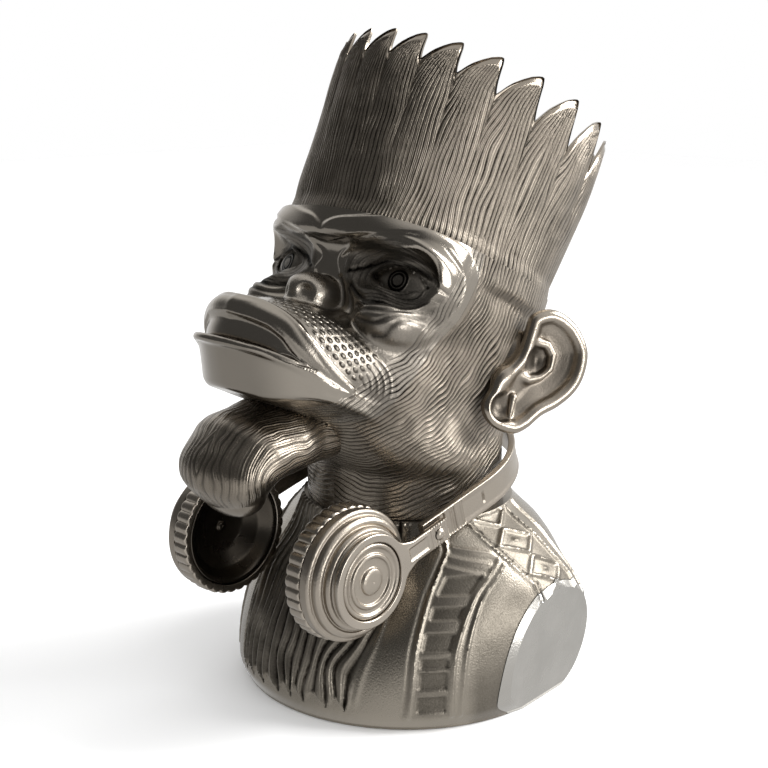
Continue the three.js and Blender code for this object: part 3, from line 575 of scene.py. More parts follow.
LIP_TURN_X, LIP_TURN_UP = [0, 13, 21, 27.5, 31, 33.7, 37], [-38, -38.6, -39.6, -43, -47.4, -50, -53]

# %% [markdown]
# ### Skull, eye sockets and hair root
#
# The skull carries the oval root of the hair and the neck. The sockets are scooped out, the lids
# swell again, and an almond between them holds the eyeball.

# %% The head as one form
def mirrored(points):
    return np.column_stack([np.abs(points[:, 0]), points[:, 1:]])


def lobes(points, rows, metal=None):
    for *row, width in rows:
        form = lobe(points, np.array(row[:3]) * HEAD_HALF, np.array(row[3:]) * HEAD_HALF)
        metal = form if metal is None else blend(metal, form, width * HEAD_HALF[0])
    return metal


def crown_half(height):
    """Half the width and depth of the hair at a height: it swells and draws in at the tips."""
    swell = 5.5 * np.sin(0.62 * math.pi * np.maximum(0, (height - CROWN_FOOT) / (CROWN_TOP - CROWN_FOOT)))
    return 61 + swell, 73 + swell


def square_off(x, forward, height):
    """The hair's plan is a little squarer than an oval above the brow."""
    around = np.arctan2(np.abs(x), forward - AXIS_FORWARD)
    return 1 + 0.07 * np.sin(np.minimum(around, math.pi / 2) * 2) ** 2 * (1 - smooth_step(height, 30, 85))


def head_field(points):
    q = mirrored(points)
    metal = lobes(q, SKULL)
    # Deep eye sockets, each made of two scoops.
    scoop = blend(lobe(q, (27, 95, 3), (20.5, 19.5, 15.5)), lobe(q, (50, 78.5, 1.2), (15, 15, 14)), 8)
    metal = carve(metal, scoop, 1.6)
    metal = eye_field(q, metal)
    metal = lobes(q, [FACE_ROOT], metal)
    # The hair's root under the crown.
    half_width, half_depth = crown_half(q[:, 2])
    ring = np.hypot(q[:, 0] / half_width, (q[:, 1] - AXIS_FORWARD) / half_depth)
    ring = ring / square_off(q[:, 0], q[:, 1], q[:, 2])
    root = carve((ring - 1) * half_width, q[:, 2] - (CROWN_FOOT - 12.4), 4.06)
    metal = blend(metal, root, 4.06)
    world = to_world(points)
    neck = np.hypot(world[:, 0], world[:, 1]) - 50
    neck = np.maximum(np.maximum(neck, world[:, 2] - 180.6), 88 - world[:, 2])
    metal = blend(metal, neck, 4.06)
    metal = blend(metal, muzzle_field(q), 3.0)
    return np.maximum(metal, q[:, 2] - 29)


def eye_local(q):
    """Across the eye, outward and up: the outer corner lies further back than the inner one."""
    gaze = q - EYE
    return np.column_stack([0.964 * gaze[:, 0] - 0.267 * gaze[:, 1], 0.267 * gaze[:, 0] + 0.964 * gaze[:, 1],
                            gaze[:, 2]])


def eye_field(q, metal):
    """Adds the swell of the lids, cuts the almond between them and fills it with the eyeball."""
    p = eye_local(q)
    metal = blend(metal, lobe(p, (0, 0, 0), LIDS_HALF), 4)
    opening = 6.4 * (1 - (p[:, 0] / 15.5) ** 2) * np.where(p[:, 2] > 0, 1.08, 0.85)
    almond = np.maximum(np.abs(p[:, 2] - 0.4) - opening, 2 - p[:, 1])
    metal = carve(metal, almond, 0.8)
    return blend(metal, lobe(p, (0, 0, 0), EYEBALL_HALF), 0.4)

# %% [markdown]
# ### The muzzle
#
# The mouth is the boldest form: a fat upper lip with a sharp border, a panel behind it, a thin lower
# lip that flares, and below it the flat wall of the jaw.

# %% Lips, jaw and nose
def tube(q, rows):
    """A round bar that follows a smooth curve, with a radius for each of its rows."""
    line = curve_through(rows, 5)
    curve, radii = line[:, :3], line[:, 3]
    run = np.concatenate([[0], np.cumsum(np.sqrt((np.diff(curve, axis=0) ** 2).sum(1)))])
    gap = np.full(len(q), 12.0, q.dtype)
    near = ((q > curve.min(0) - 12) & (q < curve.max(0) + 12)).all(1)
    far, reach = along_curve(q[near], curve)
    gap[near] = np.minimum(far - np.interp(reach, run, radii), 12)
    return gap


def bill(q):
    """The muzzle's front: a panel between the lips, and below the lower lip the jaw's wall."""
    below = np.maximum(0, -52 - q[:, 2])
    panel = 44 - 0.49 * np.clip(-40 - q[:, 2], 0, 12.5)
    flare = 46.4 + 2.6 * np.exp(-below / 2) - 0.72 * np.maximum(0, below - 2)
    share = smooth_step(below, 0, 1.2)
    reach = (1 - share) * panel + share * flare
    half = 45.5 - 0.2 * below
    plan = ((np.abs(q[:, 0]) / half) ** 1.7 + (np.maximum(0, q[:, 1] - 84) / reach) ** 1.7) ** (1 / 1.7)
    side = np.clip(q[:, 0], 0, 48)
    top = -35 - 24 * smooth_step(side, 12, 52)
    bottom = -71.5 + 8 * smooth_step(side, 18, 44)
    wall = carve((plan - 1) * 30, q[:, 2] - bottom, 2.5)
    return np.maximum(np.maximum(wall, (q[:, 2] - top) * 0.8), 60 - q[:, 1])


def muzzle_field(q):
    metal = lobes(q, MUZZLE)
    metal = blend(metal, bill(q), 2)
    # The nose: a broad bulb with a dent in each side.
    metal = blend(metal, lobe(q, (0, 83, -15.5), (13, 16, 11)), 4)
    metal = carve(metal, lobe(q, (8.6, 99.5, -17), (6, 6.5, 6)), 1.6)
    metal = blend(metal, tube(q, UPPER_LIP), 1.5)
    metal = blend(metal, tube(q, LIP_EDGE), 0.8)
    return blend(metal, tube(q, LOWER_LIP), 2.4)


# %% [markdown]
# ## What the chaser adds
#
# Folds round the eyes, a polished ring from the brow round to the cheek, a crisp edge on each lip,
# and hair that runs in loops round the face and stands up on the crown. Small places are moved in
# or out along the surface. Finer ones are passed to the material as numbers.

# %% Lines on the face
BROW_RING = curve_through([
    (-6, 88, 15.5), (0, 88, 16), (14.7, 92, 18), (27, 90, 21), (40, 82, 24), (52, 66, 22),
    (59, 53.4, 17), (60, 47.7, 8), (58.3, 46.5, -4.2), (53, 51, -18), (49, 58, -29), (47, 63, -37)])
LIP_RIDGE = curve_through([
    (-6, 129.6, -31), (0, 129.8, -30.8), (11.5, 126.5, -30.8), (24, 118.4, -33),
    (32.2, 110.3, -38.6), (37, 101.5, -45), (41, 93, -50.4), (44.5, 83, -55.2)])
SOCKET_RIM = curve_through([
    (8.8, 80, -1), (5.5, 80.3, 5.3), (11.3, 82.3, 10), (26, 86.9, 14.5), (39.6, 84.6, 18.5),
    (48.7, 79.2, 18), (55.5, 70.6, 15.3), (58.9, 62.3, 10.5), (59.8, 57, 3.8), (58.6, 55.5, -2.3)])
# Each fold of the skin: its half width and depth in mm, then the points that it runs through.
FOLD_ROWS = [
    (1.0, 0.9, [(12.7, 79.5, -0.2), (20, 80, 4), (29.5, 79, 7.6), (38, 76, 8.8), (46, 71, 8),
                (53.4, 64, 5.5), (59, 57, 1)]),
    (1.1, 0.9, [(17, 78, -6), (25, 77, -11), (33.9, 75, -13.6), (42, 71.8, -12.6),
                (49.5, 67, -9.6), (59.1, 55.1, -1.1)]),
    (1.1, 0.8, [(24, 80, -15), (31.9, 76.2, -17.4), (41, 71.5, -17), (48.8, 65.2, -14.6),
                (58.2, 52.5, -4.2)]),
    (1.1, 0.7, [(33, 79, -22), (43.1, 67.8, -22.5), (50, 60, -17.5), (56.5, 52.2, -10)]),
    (1.0, 0.6, [(41, 74, -28), (47.5, 64, -26), (53.2, 56.2, -16.5)]),
    (1.2, 0.6, [(15.5, 82, -8), (19, 84, -13), (21, 87, -19)]),
    (1.1, 0.7, [(8.5, 82, -4), (12, 84, -9), (13.6, 88, -15), (13, 92, -21)]),
]
FOLDS = [(curve_through(points), width, depth) for width, depth, points in FOLD_ROWS]

# %% [markdown]
# ### Which way the hair runs
#
# Round the bare face the hair runs in loops, and above it the strands stand up into the crown. A
# cone from the heart of the head through the face's border gives both the loops and the seam.

# %% Hair's directions
def face_cone_distance(q):
    """How far outside the bare face a point lies, in mm: its level lines run in loops round it."""
    total = np.zeros(len(q))
    sharp = 7.0
    for a, b in zip(FACE_EDGE[1:], FACE_EDGE[2:]):
        normal = np.cross(a - FACE_HEART, b - FACE_HEART)
        normal /= np.sqrt(normal @ normal)
        if normal @ (np.array([0, 200, -40]) - FACE_HEART) > 0:
            normal = -normal
        total += np.exp(np.clip((q - FACE_HEART) @ normal / sharp, -30, 30))
    return sharp * np.log(total + 1e-9)


TEETH = 19
FIRST_TOOTH = math.radians(7)
SIDE_WIDENING = 0.25                        # teeth are wider at the sides than in front
STRANDS_A_TOOTH = 8
LOOP_PITCH = 2.1


def crown_turns(q_angle):
    """Teeth counted round the crown from the front."""
    even = q_angle.copy()
    for _ in range(6):
        even = q_angle + SIDE_WIDENING * np.sin(even)
    return TEETH * (even - FIRST_TOOTH) / (2 * math.pi)


def strand_sway(points):
    """How far the upright strands wander, in strands."""
    return 1.0 * noise(points * (1, 1, 0.4), 17) + 0.55 * noise(points * (1, 1, 0.4), 6)


def head_strands(points):
    """Phases of the hair's loops and of its upright strands, and the share of the second."""
    q = mirrored(points)
    sway = 2.6 * noise(points, 28) + 1.5 * noise(points, 10) + 0.7 * noise(points, 5)
    loops = (face_cone_distance(q) + sway) / LOOP_PITCH
    angle = np.arctan2(points[:, 0], points[:, 1] - AXIS_FORWARD)
    upright = STRANDS_A_TOOTH * crown_turns(angle) + strand_sway(points)
    share = smooth_step(points[:, 2] + 0.12 * (20 - points[:, 1]), 2, 24)
    return np.stack([loops, upright, share], 1)


def groove(phase, sharpness=4):
    return np.abs(np.cos(math.pi * phase)) ** sharpness


def stroke(points, curve, width):
    """1 on a curve, and falling off beside it like a bell."""
    near = ((points > curve.min(0) - 3 * width) & (points < curve.max(0) + 3 * width)).all(1)
    mark = np.zeros(len(points))
    far, _ = along_curve(points[near], curve)
    mark[near] = np.exp(-(far / width) ** 2)
    return mark

# %% [markdown]
# ### The chaser's marks on the head
#
# One pass works out how far each point moves, and where there is hair, polish, patina and, under the jaw,
# painted light.

# %% Marks of the chaser
def head_marks(points):
    """Height to add, hair, polish with painted light on the neck, and patina, for points on the head in its
    own frame.
    """
    q = mirrored(points)
    outside = face_cone_distance(q)
    hair = smooth_step(outside, -1.5, 3.5)
    strands = head_strands(points)
    loops, upright, share = strands.T
    depth = 0.2 * (0.7 + 0.6 * noise(points, 14))
    height = -hair * depth * ((1 - share) * groove(loops) + share * groove(upright))
    face = 1 - hair
    far_ring, along_ring = along_curve(q, BROW_RING)
    ring = (1 - smooth_step(far_ring, 3.6, 5.6)) * (1 - smooth_step(along_ring, 118, 134))
    height += 1.3 * ring * face + 0.5 * ring * hair
    flat = q * (1, 0, 1)
    rim = stroke(flat, SOCKET_RIM * (1, 0, 1), 1.2) * (q[:, 1] > 40)
    height += 0.7 * rim * face
    # A second, softer edge where the upper lip turns in.
    turn = np.interp(q[:, 0], LIP_TURN_X, LIP_TURN_UP)
    height += 0.5 * np.exp(-((q[:, 2] - turn) / 0.9) ** 2) * smooth_step(q[:, 1], 98, 106)
    folds = np.zeros(len(points))
    for curve, width, fold_depth in FOLDS:
        mark = stroke(flat, curve * (1, 0, 1), width) * (q[:, 1] > 40)
        height -= fold_depth * mark * face
        folds = np.maximum(folds, mark)
    socket = smooth_step(-lobe(q, (35, 80, 1.5), (26, 26, 16)), -1.5, 3)
    # Leathery wrinkles run round the eye in rings.
    eye_ring = (np.hypot(0.55 * (q[:, 0] - 37), q[:, 2] - EYE[2]) + 1.6 * noise(q, 9)) / 1.7
    round_eye = face * socket > 0.05
    strands[round_eye, 0] = eye_ring[round_eye]
    strands[round_eye, 2] = 0
    off_ball = smooth_step(lobe(eye_local(q), (0, 0, 0), EYEBALL_HALF), 0.3, 0.9)
    hair = np.maximum(hair, 0.32 * face * socket * off_ball)
    nose = smooth_step(-lobe(q, (0, 84, -15.5), (15, 17, 13)), -0.5, 1.5)
    whiskers = whisker_share(q)
    jaw = smooth_step(-q[:, 2], 50, 58)
    polish_and_light = face * (1 - 0.9 * socket) * (1 - 0.75 * whiskers) * (1 - 0.85 * folds)
    cheek = face * (1 - ring) * smooth_step(q[:, 0], 30, 40) * (1 - smooth_step(q[:, 2], -8, 0)) * (1 - jaw)
    polish_and_light *= (1 - 0.8 * cheek) * (1 - 0.75 * nose)
    polish_and_light = np.clip(np.maximum(polish_and_light, ring * (1 - folds)), 0, 1)
    # The hair under the cheeks and on the neck is polished: smoother, and lighter in colour as painted light.
    polish_and_light = np.maximum(polish_and_light, 0.5 * smooth_step(-q[:, 2], 48, 72) * hair)
    patina_and_shade = 0.42 * socket * face + 0.5 * folds * face + 0.25 * cheek
    return height, hair * (1 - 0.8 * ring), polish_and_light, np.clip(patina_and_shade, 0, 0.9), strands

# %% [markdown]
# ### Where whiskers and eyes lie
#
# The dimples and the rings of the eye are too fine for the mesh, so the material draws them. It
# needs to know how far along the lip, and how far from the pupil, each point lies.

# %% Whiskers and eyes as places
def whisker_share(q):
    """1 on the dimpled skin between the upper lip, the nose and the cheek."""
    far, reach = along_curve(q, LIP_RIDGE)
    side, _, up, _ = np.array(LIP_EDGE).T
    outer_side = smooth_step(q[:, 2] - np.interp(q[:, 0], side, up), 1.6, 3)
    return (smooth_step(far, 1.2, 3) * smooth_step(reach, 14, 22) * (1 - smooth_step(far, 17, 25))
            * outer_side * smooth_step(q[:, 2], -62, -58))


def whisker_place(points):
    """Places on the whisker skin: along the lip, away from it, and how strong the dimples are."""
    q = mirrored(points)
    far, reach = along_curve(q, LIP_RIDGE)
    return np.stack([reach, far, whisker_share(q)], 1)


def eye_place(points):
    """Places on the eyeball, measured from the pupil, and 1 where the eyeball shows."""
    p = eye_local(mirrored(points))
    shows = (lobe(p, (0, 0, 0), EYEBALL_HALF) < 0.5) & (p[:, 1] > 0)
    return np.stack([p[:, 0], p[:, 2] - 0.5, shows], 1)


# %% [markdown]
# ## Casting the head
#
# The front is skinned every 0.72 mm, because the face needs it, and the rest at nearly one.

# %% Blanks for the head
def head_blank(name, field, low, high, pitch):
    points, faces = skin(field, low, high, pitch)
    value, slope = slope_of(head_field, points)
    on_skin = np.abs(value) < 0.3
    height = head_marks(points)[0]
    points += np.where(on_skin, height, 0)[:, None] * slope
    return add_object(name, to_world(points), faces)


def front_field(points):
    return np.maximum(head_field(points), 30 - points[:, 1])


def back_field(points):
    return np.maximum(head_field(points), -(face_cone_distance(mirrored(points)) + 9))


front_blank = head_blank("front_blank", front_field, (-66, 26, -106), (66, 144, 32), 0.72)
back_blank = head_blank("back_blank", back_field, (-66, -82, -122), (66, 144, 32), 0.95)
for blank in (front_blank, back_blank):
    print(blank.name, "has", len(blank.data.vertices), "points")


def face_cone(name, shift):
    corners = [*FACE_EDGE, *(FACE_EDGE * (-1, 1, 1))]
    spread = [FACE_HEART + 4 * (corner - FACE_HEART) for corner in corners]
    points = np.array([FACE_HEART, *spread]) - (0, shift, 0)
    return hull(name, to_world(points))


def below_lips(name, drop):
    tip, corner = np.array([0, 2.09, -0.8]) * HEAD_HALF, np.array([0, 1.18, -0.93]) * HEAD_HALF
    along = (tip - corner) / np.sqrt(((tip - corner) ** 2).sum())
    down = np.array([0, along[2], -along[1]])
    start = corner + drop * down
    points = [start + x * np.array([1, 0, 0]) + f * along + d * down
              for x in (-200, 200) for f in (-200, 200) for d in (0, 300)]
    return hull(name, to_world(np.array(points)))

# %% [markdown]
# ### Knives and cores
#
# The seams are planes and cones, 0.05 mm wide. The well for the bottle and a core a wall's thickness
# smaller than the skull make the head hollow.

# %% Knives and cores
on_axis = np.array([0, AXIS_FORWARD, 0])
above_seam = box_between("above_seam", (-200, -200, CROWN_FOOT), (200, 200, 200), to_world)
below_neck = box_between("below_neck", (-200, -200, -50), (200, 200, 94.3))
well = rod_between("well", WELL_RADIUS, -20.3, 140, lambda p: to_world(p + on_axis))
cone_front = face_cone("cone_front", 0)
cone_back = face_cone("cone_back", 2 * SEAM)
lips_down = below_lips("lips_down", 0)
lips_down_more = below_lips("lips_down_more", SEAM)


def lobe_hollow(name, row):
    """A ball-shaped core inside one of the head's lumps, a wall's thickness smaller."""
    sides, rings = 48, 24
    points = [(0, 0, -1), (0, 0, 1)]
    for ring in range(1, rings):
        polar = math.pi * ring / rings
        for step in range(sides):
            around = 2 * math.pi * step / sides
            points.append((math.sin(polar) * math.cos(around), math.sin(polar) * math.sin(around),
                           math.cos(polar)))
    half = np.array(row[3:6]) * HEAD_HALF - CAST_WALL
    return hull(name, to_world(np.array(points) * half + np.array(row[:3]) * HEAD_HALF))


def hair_root_place(points):
    """From a round rod to the oval of the crown, in the figure's frame."""
    return to_world(points * (56, 68, 1) + on_axis)

# %% [markdown]
# ### Parting face, jaw and head
#
# The back keeps the hair and the neck, the front gives the face above the lips and the jaw below.

# %% Parting the head
cavity = lobe_hollow("cavity", SKULL[0])
for core in (lobe_hollow("core", SKULL[1]), lobe_hollow("core", FACE_ROOT),
             rod_between("core", 1, 18.1, 30.5, hair_root_place), rod_between("core", 45.5, 94.3, 137.6)):
    cut(cavity, core, "UNION")
cut(cavity, box_between("core", (-200, -200, -50), (200, 200, 99.3)))

head_shell = back_blank
for tool in (cone_back, above_seam, below_neck, cavity, well):
    cut(head_shell, tool)
head_shell.name = "head_casting"
front = cut(front_blank, cone_front, "INTERSECT")
for tool in (above_seam, cavity, well):
    cut(front, tool)
face = copy_of(front, "face_casting")
cut(face, lips_down)
jaw = copy_of(front, "jaw_casting")
cut(jaw, lips_down_more, "INTERSECT")
discard(front)
print("face, jaw and head are parted")

# %% [markdown]
# ### Goatee
#
# A swept lock that leaves the underside of the jaw and curls down to a blunt, polished tip. Its
# strands run its whole length, and the jaw is cut out of its root.

# %% The goatee
GOATEE = np.array([[0, 0.91, -1.19, 0.94], [0, 1.26, -1.37, 1], [0, 1.46, -1.53, 1], [0, 1.53, -1.71, 0.94],
                   [0, 1.4, -1.84, 0.7]])
GOATEE_LINE = GOATEE[:, :3] * HEAD_HALF
GOATEE_RADII = 17 * GOATEE[:, 3]


def goatee_field(points):
    q = points * (34 / 54, 1, 1)
    metal = np.full(len(q), 1e3)
    for a, b, ra, rb in zip(GOATEE_LINE, GOATEE_LINE[1:], GOATEE_RADII, GOATEE_RADII[1:]):
        metal = blend(metal, roll(q, a, b, ra, rb), 5.1)
    return metal


def goatee_marks(points):
    q = points * (34 / 54, 1, 1)
    line = curve_through(GOATEE_LINE, 8)
    _, reach = along_curve(q, line)
    run = np.concatenate([[0], np.cumsum(np.sqrt((np.diff(line, axis=0) ** 2).sum(1)))])
    centre = np.stack([np.interp(reach, run, line[:, i]) for i in range(3)], 1)
    step = np.stack([np.interp(reach + 1, run, line[:, i]) - np.interp(reach - 1, run, line[:, i])
                     for i in range(3)], 1)
    step /= np.sqrt((step * step).sum(1))[:, None]
    side = q[:, 0] - centre[:, 0]
    out = (q[:, 1] - centre[:, 1]) * step[:, 2] * -1 + (q[:, 2] - centre[:, 2]) * step[:, 1]
    around = np.arctan2(np.abs(side), -out) / math.pi
    phase = 17 * around + 0.7 * noise(points, 15) + 0.3 * noise(points, 6)
    tip = smooth_step(reach, run[-1] - 12, run[-1] + 4)
    height = -0.2 - (1 - tip) * 0.55 * (0.7 + 0.5 * noise(points, 12)) * groove(phase)
    return height, phase, tip


points, faces = skin(goatee_field, (-34, 36, -136), (34, 124, -50), 0.8)
_, slope = slope_of(goatee_field, points)
points += goatee_marks(points)[0][:, None] * slope
goatee = add_object("goatee_lock", to_world(points), faces)
whole = head_blank("whole", head_field, (-66, -82, -122), (66, 144, 32), 1.6)
cut(goatee, whole)

# %% [markdown]
# ### Ears
#
# Each ear is a dished plate inside a rolled rim, with a raised fold round the ear hole and a small
# cupped lobe.

# %% The ear's outline
EAR_EDGE = curve_through([(-9.3, 16.3), (-8.5, 25.3), (-0.7, 31.3), (8.7, 31.5), (18.1, 27.1), (25.9, 18.1),
                          (27.5, 6.2), (25, -3.5), (18.8, -12.6), (11.8, -19.5), (6.5, -27.4), (0.2, -32.5),
                          (-9.7, -32.8), (-17, -29), (-20, -23), (-18.5, -16), (-17.9, -9.4), (-13, -2),
                          (-9.6, 5.7), (-9.3, 16.3)], 5)
EAR_PLACE = np.array([1.1, -0.12, -0.23]) * HEAD_HALF
EAR_TOE = math.radians(24)


def edge_distance_of(flat):
    """Signed distance from the ear's outline, negative inside it."""
    gap, _ = along_curve(np.column_stack([flat, np.zeros(len(flat))]),
                         np.column_stack([EAR_EDGE, np.zeros(len(EAR_EDGE))]))
    inside = np.zeros(len(flat), bool)
    for (ay, az), (by, bz) in zip(EAR_EDGE[:-1], EAR_EDGE[1:]):
        if az == bz:
            continue
        crossing = (az > flat[:, 1]) != (bz > flat[:, 1])
        at = ay + (flat[:, 1] - az) / (bz - az) * (by - ay)
        inside ^= crossing & (flat[:, 0] < at)
    return np.where(inside, -gap, gap)


# The distance is worked out once on a grid of quarter millimetres and read between its points.
EAR_CORNER, EAR_STEP = np.array([-32.0, -40.0]), 0.25
EAR_GRID = np.stack(np.meshgrid(np.arange(280), np.arange(320), indexing="ij"), -1)
EAR_TABLE = edge_distance_of((EAR_CORNER + EAR_GRID.reshape(-1, 2) * EAR_STEP)).reshape(280, 320)


def edge_distance(flat):
    place = np.clip((flat - EAR_CORNER) / EAR_STEP, 0, (278, 318))
    cell = place.astype(int)
    u, v = (place - cell).T
    i, j = cell.T
    return ((1 - u) * (1 - v) * EAR_TABLE[i, j] + u * (1 - v) * EAR_TABLE[i + 1, j]
            + (1 - u) * v * EAR_TABLE[i, j + 1] + u * v * EAR_TABLE[i + 1, j + 1])


def ear_curve(points, rows, radius, end_radius=None):
    metal = np.full(len(points), 1e3)
    for a, b in zip(rows, rows[1:]):
        metal = np.minimum(metal, roll(points, a, b, radius, end_radius))
    return metal


def ear_field(p):
    edge = edge_distance(p[:, 1:])
    # The rim leans outward toward the back of the ear.
    lean = 2.6 + 0.05 * p[:, 1] - 0.02 * p[:, 2]
    rim = np.hypot(edge + 3.4, p[:, 0] - lean) - 3.3
    dish = -2.6 + 3.2 * smooth_step(edge, -16, -4)
    plate = np.maximum(np.abs(p[:, 0] - dish) - 2.2, edge + 2)
    metal = blend(plate, rim, 2.4)
    hollow = lobe(p, (4.5, 1.4, 5.2), (7, 6.2, 6.4))
    fold = ear_curve(p, [(1.2, -1.5, 14), (1.6, 4.5, 14.5), (2, 8.8, 10.5), (2, 9.2, 4), (1.8, 5.5, -1.5),
                         (1.2, 0.5, -4.6), (0.8, -4, -4)], 2.3)
    metal = blend(metal, fold, 2.2)
    metal = carve(metal, hollow, 1.6)
    metal = carve(metal, lobe(p, (5, -9.4, -22), (6.4, 6.6, 7)), 1.6)
    metal = blend(metal, roll(p, (1.6, -4.6, -15.5), (1.8, -3.4, -24), 2.1, 1.0), 1.2)
    metal = blend(metal, lobe(p, (0, -13, -9), (5, 5, 6.5)), 3)
    # A root that ties the ear to the head.
    return blend(metal, lobe(p, (-5, -6, -2), (6, 9, 20)), 3)

# %% [markdown]
# ### Placing both ears
#
# One ear is modelled lying flat, then turned out by 24 degrees and mirrored for the other side.

# %% Both ears
def ear_to_world(p, side):
    c, s = math.cos(EAR_TOE), math.sin(EAR_TOE)
    x = p[:, 0] * c + p[:, 1] * s + EAR_PLACE[0]
    back = -p[:, 0] * s + p[:, 1] * c - EAR_PLACE[1]
    return to_world(np.column_stack([side * x, -back, p[:, 2] + EAR_PLACE[2]]))


def world_to_ear(points):
    h = to_head(points)
    c, s = math.cos(EAR_TOE), math.sin(EAR_TOE)
    out, back = np.abs(h[:, 0]) - EAR_PLACE[0], EAR_PLACE[1] - h[:, 1]
    return np.column_stack([out * c - back * s, out * s + back * c, h[:, 2] - EAR_PLACE[2]])


def ear_marks(p):
    edge = edge_distance(p[:, 1:])
    low = smooth_step(-p[:, 0], -3.5, 1.5)
    rim = smooth_step(edge, -5, -3)
    patina_and_shade = 0.5 * low * (1 - rim) + 0.15
    return np.clip(0.65 * rim + 0.2, 0, 1), patina_and_shade


ear_points, ear_faces = skin(ear_field, (-12, -28, -38), (9.5, 33, 37), 0.62)
ears = []
for side in (1, -1):
    turned = ear_faces if side > 0 else ear_faces[:, ::-1]
    ear = add_object(f"ear_casting_{'left' if side > 0 else 'right'}", ear_to_world(ear_points, side), turned)
    cut(ear, whole)
    ears.append(ear)
discard(whole)
print("goatee and ears are cut to the head")

# %% [markdown]
# ### Crown of hair
#
# An open oval wall. Nineteen locks lean back to their tips: a long rounded edge that climbs, then
# a steep drop. The strands rise from the hairline and run together at each tip, and the tips are
# ground smooth and polished.

# %% The crown's teeth
TOOTH_STEPS = 33
TOOTH_DIP = 0.24                            # the share of a tooth where its steep drop ends
TOOTH_SHAPE = ([0, 0.05, 0.1, 0.17, 0.24, 0.3, 0.38, 0.46, 0.6, 0.74, 0.87, 0.95, 1],
               [0.97, 0.86, 0.62, 0.28, 0.02, 0.14, 0.34, 0.5, 0.7, 0.86, 0.95, 0.985, 0.97])


def tooth_height(share):
    return np.interp(share, *TOOTH_SHAPE)


def crown_rise(angle):
    return 12 + 14 * np.minimum(1, 1 - np.cos(angle))


BEVEL = 4.6                                 # how far below its edge a tooth begins to roll over
TOOTH_LEAN = 0.16                           # how far a tip leans, as a share of a tooth's width
OUTER_ROWS = 104
EDGE_INSETS = (0.5, 1.1, 1.8)
CROWN_WALL = 5.0
LEDGE_TOP = 79
column = np.arange(TEETH * TOOTH_STEPS)
turn = column / TOOTH_STEPS
even = FIRST_TOOTH + 2 * math.pi * turn / TEETH
crown_angle = even - SIDE_WIDENING * np.sin(even)
top = CROWN_TOP - crown_rise(crown_angle) * (1 - tooth_height(turn % 1))
foot = CROWN_FOOT + SEAM
# Each row round the crown: its height, and how far it lies inside the outer wall (None: on the well).
rows = [(foot + (top - foot) * share, 0.0) for share in np.linspace(0, 1, OUTER_ROWS)]
rows += [(top, inset) for inset in EDGE_INSETS]
rows += [(top + (LEDGE_TOP - top) * share, EDGE_INSETS[-1] + (CROWN_WALL - EDGE_INSETS[-1]) * share)
         for share in np.linspace(0, 1, 22)[1:]]
rows += [(np.full_like(top, height), inset) for height, inset in (
    (77, CROWN_WALL), (75, CROWN_WALL), (75, None), (73, None), (71, None),
    (67, CROWN_WALL), (50, CROWN_WALL), (foot, CROWN_WALL))]
crown_points, crown_info = [], []
for number, (height, inset) in enumerate(rows):
    half_width, half_depth = crown_half(height)
    below = top - height
    outer = number < OUTER_ROWS
    if inset is None:
        across = along = np.full_like(top, WELL_RADIUS)
    else:
        # The outer edge rolls over toward the tip.
        bevel = 1.7 * np.clip(1 - below / BEVEL, 0, 1) if outer else 0
        across, along = half_width - inset - bevel, half_depth - inset - bevel
        if OUTER_ROWS <= number < OUTER_ROWS + len(EDGE_INSETS):
            across, along = across - 0.9, along - 0.9
    # The locks lean back: the nearer to its tip, the further a point is carried round.
    rise = crown_rise(crown_angle)
    up_lock = np.clip((height - (CROWN_TOP - rise)) / rise, 0, 1)
    leaning = crown_angle + TOOTH_LEAN * 2 * math.pi / TEETH * up_lock ** 1.3
    height = np.broadcast_to(height, top.shape)
    side, forward = across * np.sin(leaning), along * np.cos(leaning)
    spread = square_off(side, forward + AXIS_FORWARD, height) if outer else 1
    point = np.stack([spread * side, AXIS_FORWARD + spread * forward, height], 1)
    crown_points.append(point)
    crown_info.append(np.stack([turn, below, np.full_like(top, outer)], 1))
crown_points = np.vstack(crown_points)
crown_info = np.vstack(crown_info)

# %% [markdown]
# ### The crown's strands and locks
#
# Each lock bulges between its neighbours, and its strands gather toward its own tip.

# %% Strands and locks
def crown_strands(points, teeth):
    """Phase of the strands: they run together toward the tip of their own lock."""
    lean = np.where(teeth % 1 < TOOTH_DIP, teeth % 1, teeth % 1 - 1)
    rise = crown_rise(np.arctan2(points[:, 0], points[:, 1] - AXIS_FORWARD))
    high = np.clip(1 - (CROWN_TOP - points[:, 2]) / (rise + 34), 0, 1)
    gather = lean * (1 / (1 - 0.72 * high ** 1.6) - 1)
    return STRANDS_A_TOOTH * (teeth + gather) + strand_sway(points)


phase = crown_strands(crown_points, crown_info[:, 0])
below = crown_info[:, 1]
is_outer = crown_info[:, 2] > 0.5
tip_smooth = 1 - smooth_step(below, BEVEL - 0.4, BEVEL + 0.5)
radial = (crown_points - (0, AXIS_FORWARD, 0)) * (1, 1, 0)
radial /= np.sqrt((radial * radial).sum(1))[:, None] + 1e-9
lock = crown_info[:, 0] % 1
lock_bulge = np.sin(math.pi * ((lock - TOOTH_DIP) % 1)) ** 0.6 * smooth_step(crown_points[:, 2], 45, 95)
relief = -0.6 * (0.75 + 0.5 * noise(crown_points, 14)) * groove(phase) * (1 - tip_smooth)
relief += 1.5 * (lock_bulge - 1) + 0.5 * noise(crown_points, 20) - 0.5
relief *= smooth_step(crown_points[:, 2], 26, 34) * 0.75 + 0.25
crown_points += np.where(is_outer, relief, 0)[:, None] * radial
crown_faces = np.roll(ring_faces(len(rows), len(column))[:, ::-1], 1, 1)
crown = add_object("crown_casting", to_world(crown_points), crown_faces)
set_marks(crown, "strands", one_phase(phase))
set_marks(crown, "hair", np.where(is_outer, 1 - tip_smooth, 0))
set_marks(crown, "polish_and_light", np.where(is_outer | (below < 0.1), 0.9 * tip_smooth, 0.0))
set_marks(crown, "patina_and_shade", np.where(is_outer, 0.0, 0.35 * smooth_step(below, 0, 12)))
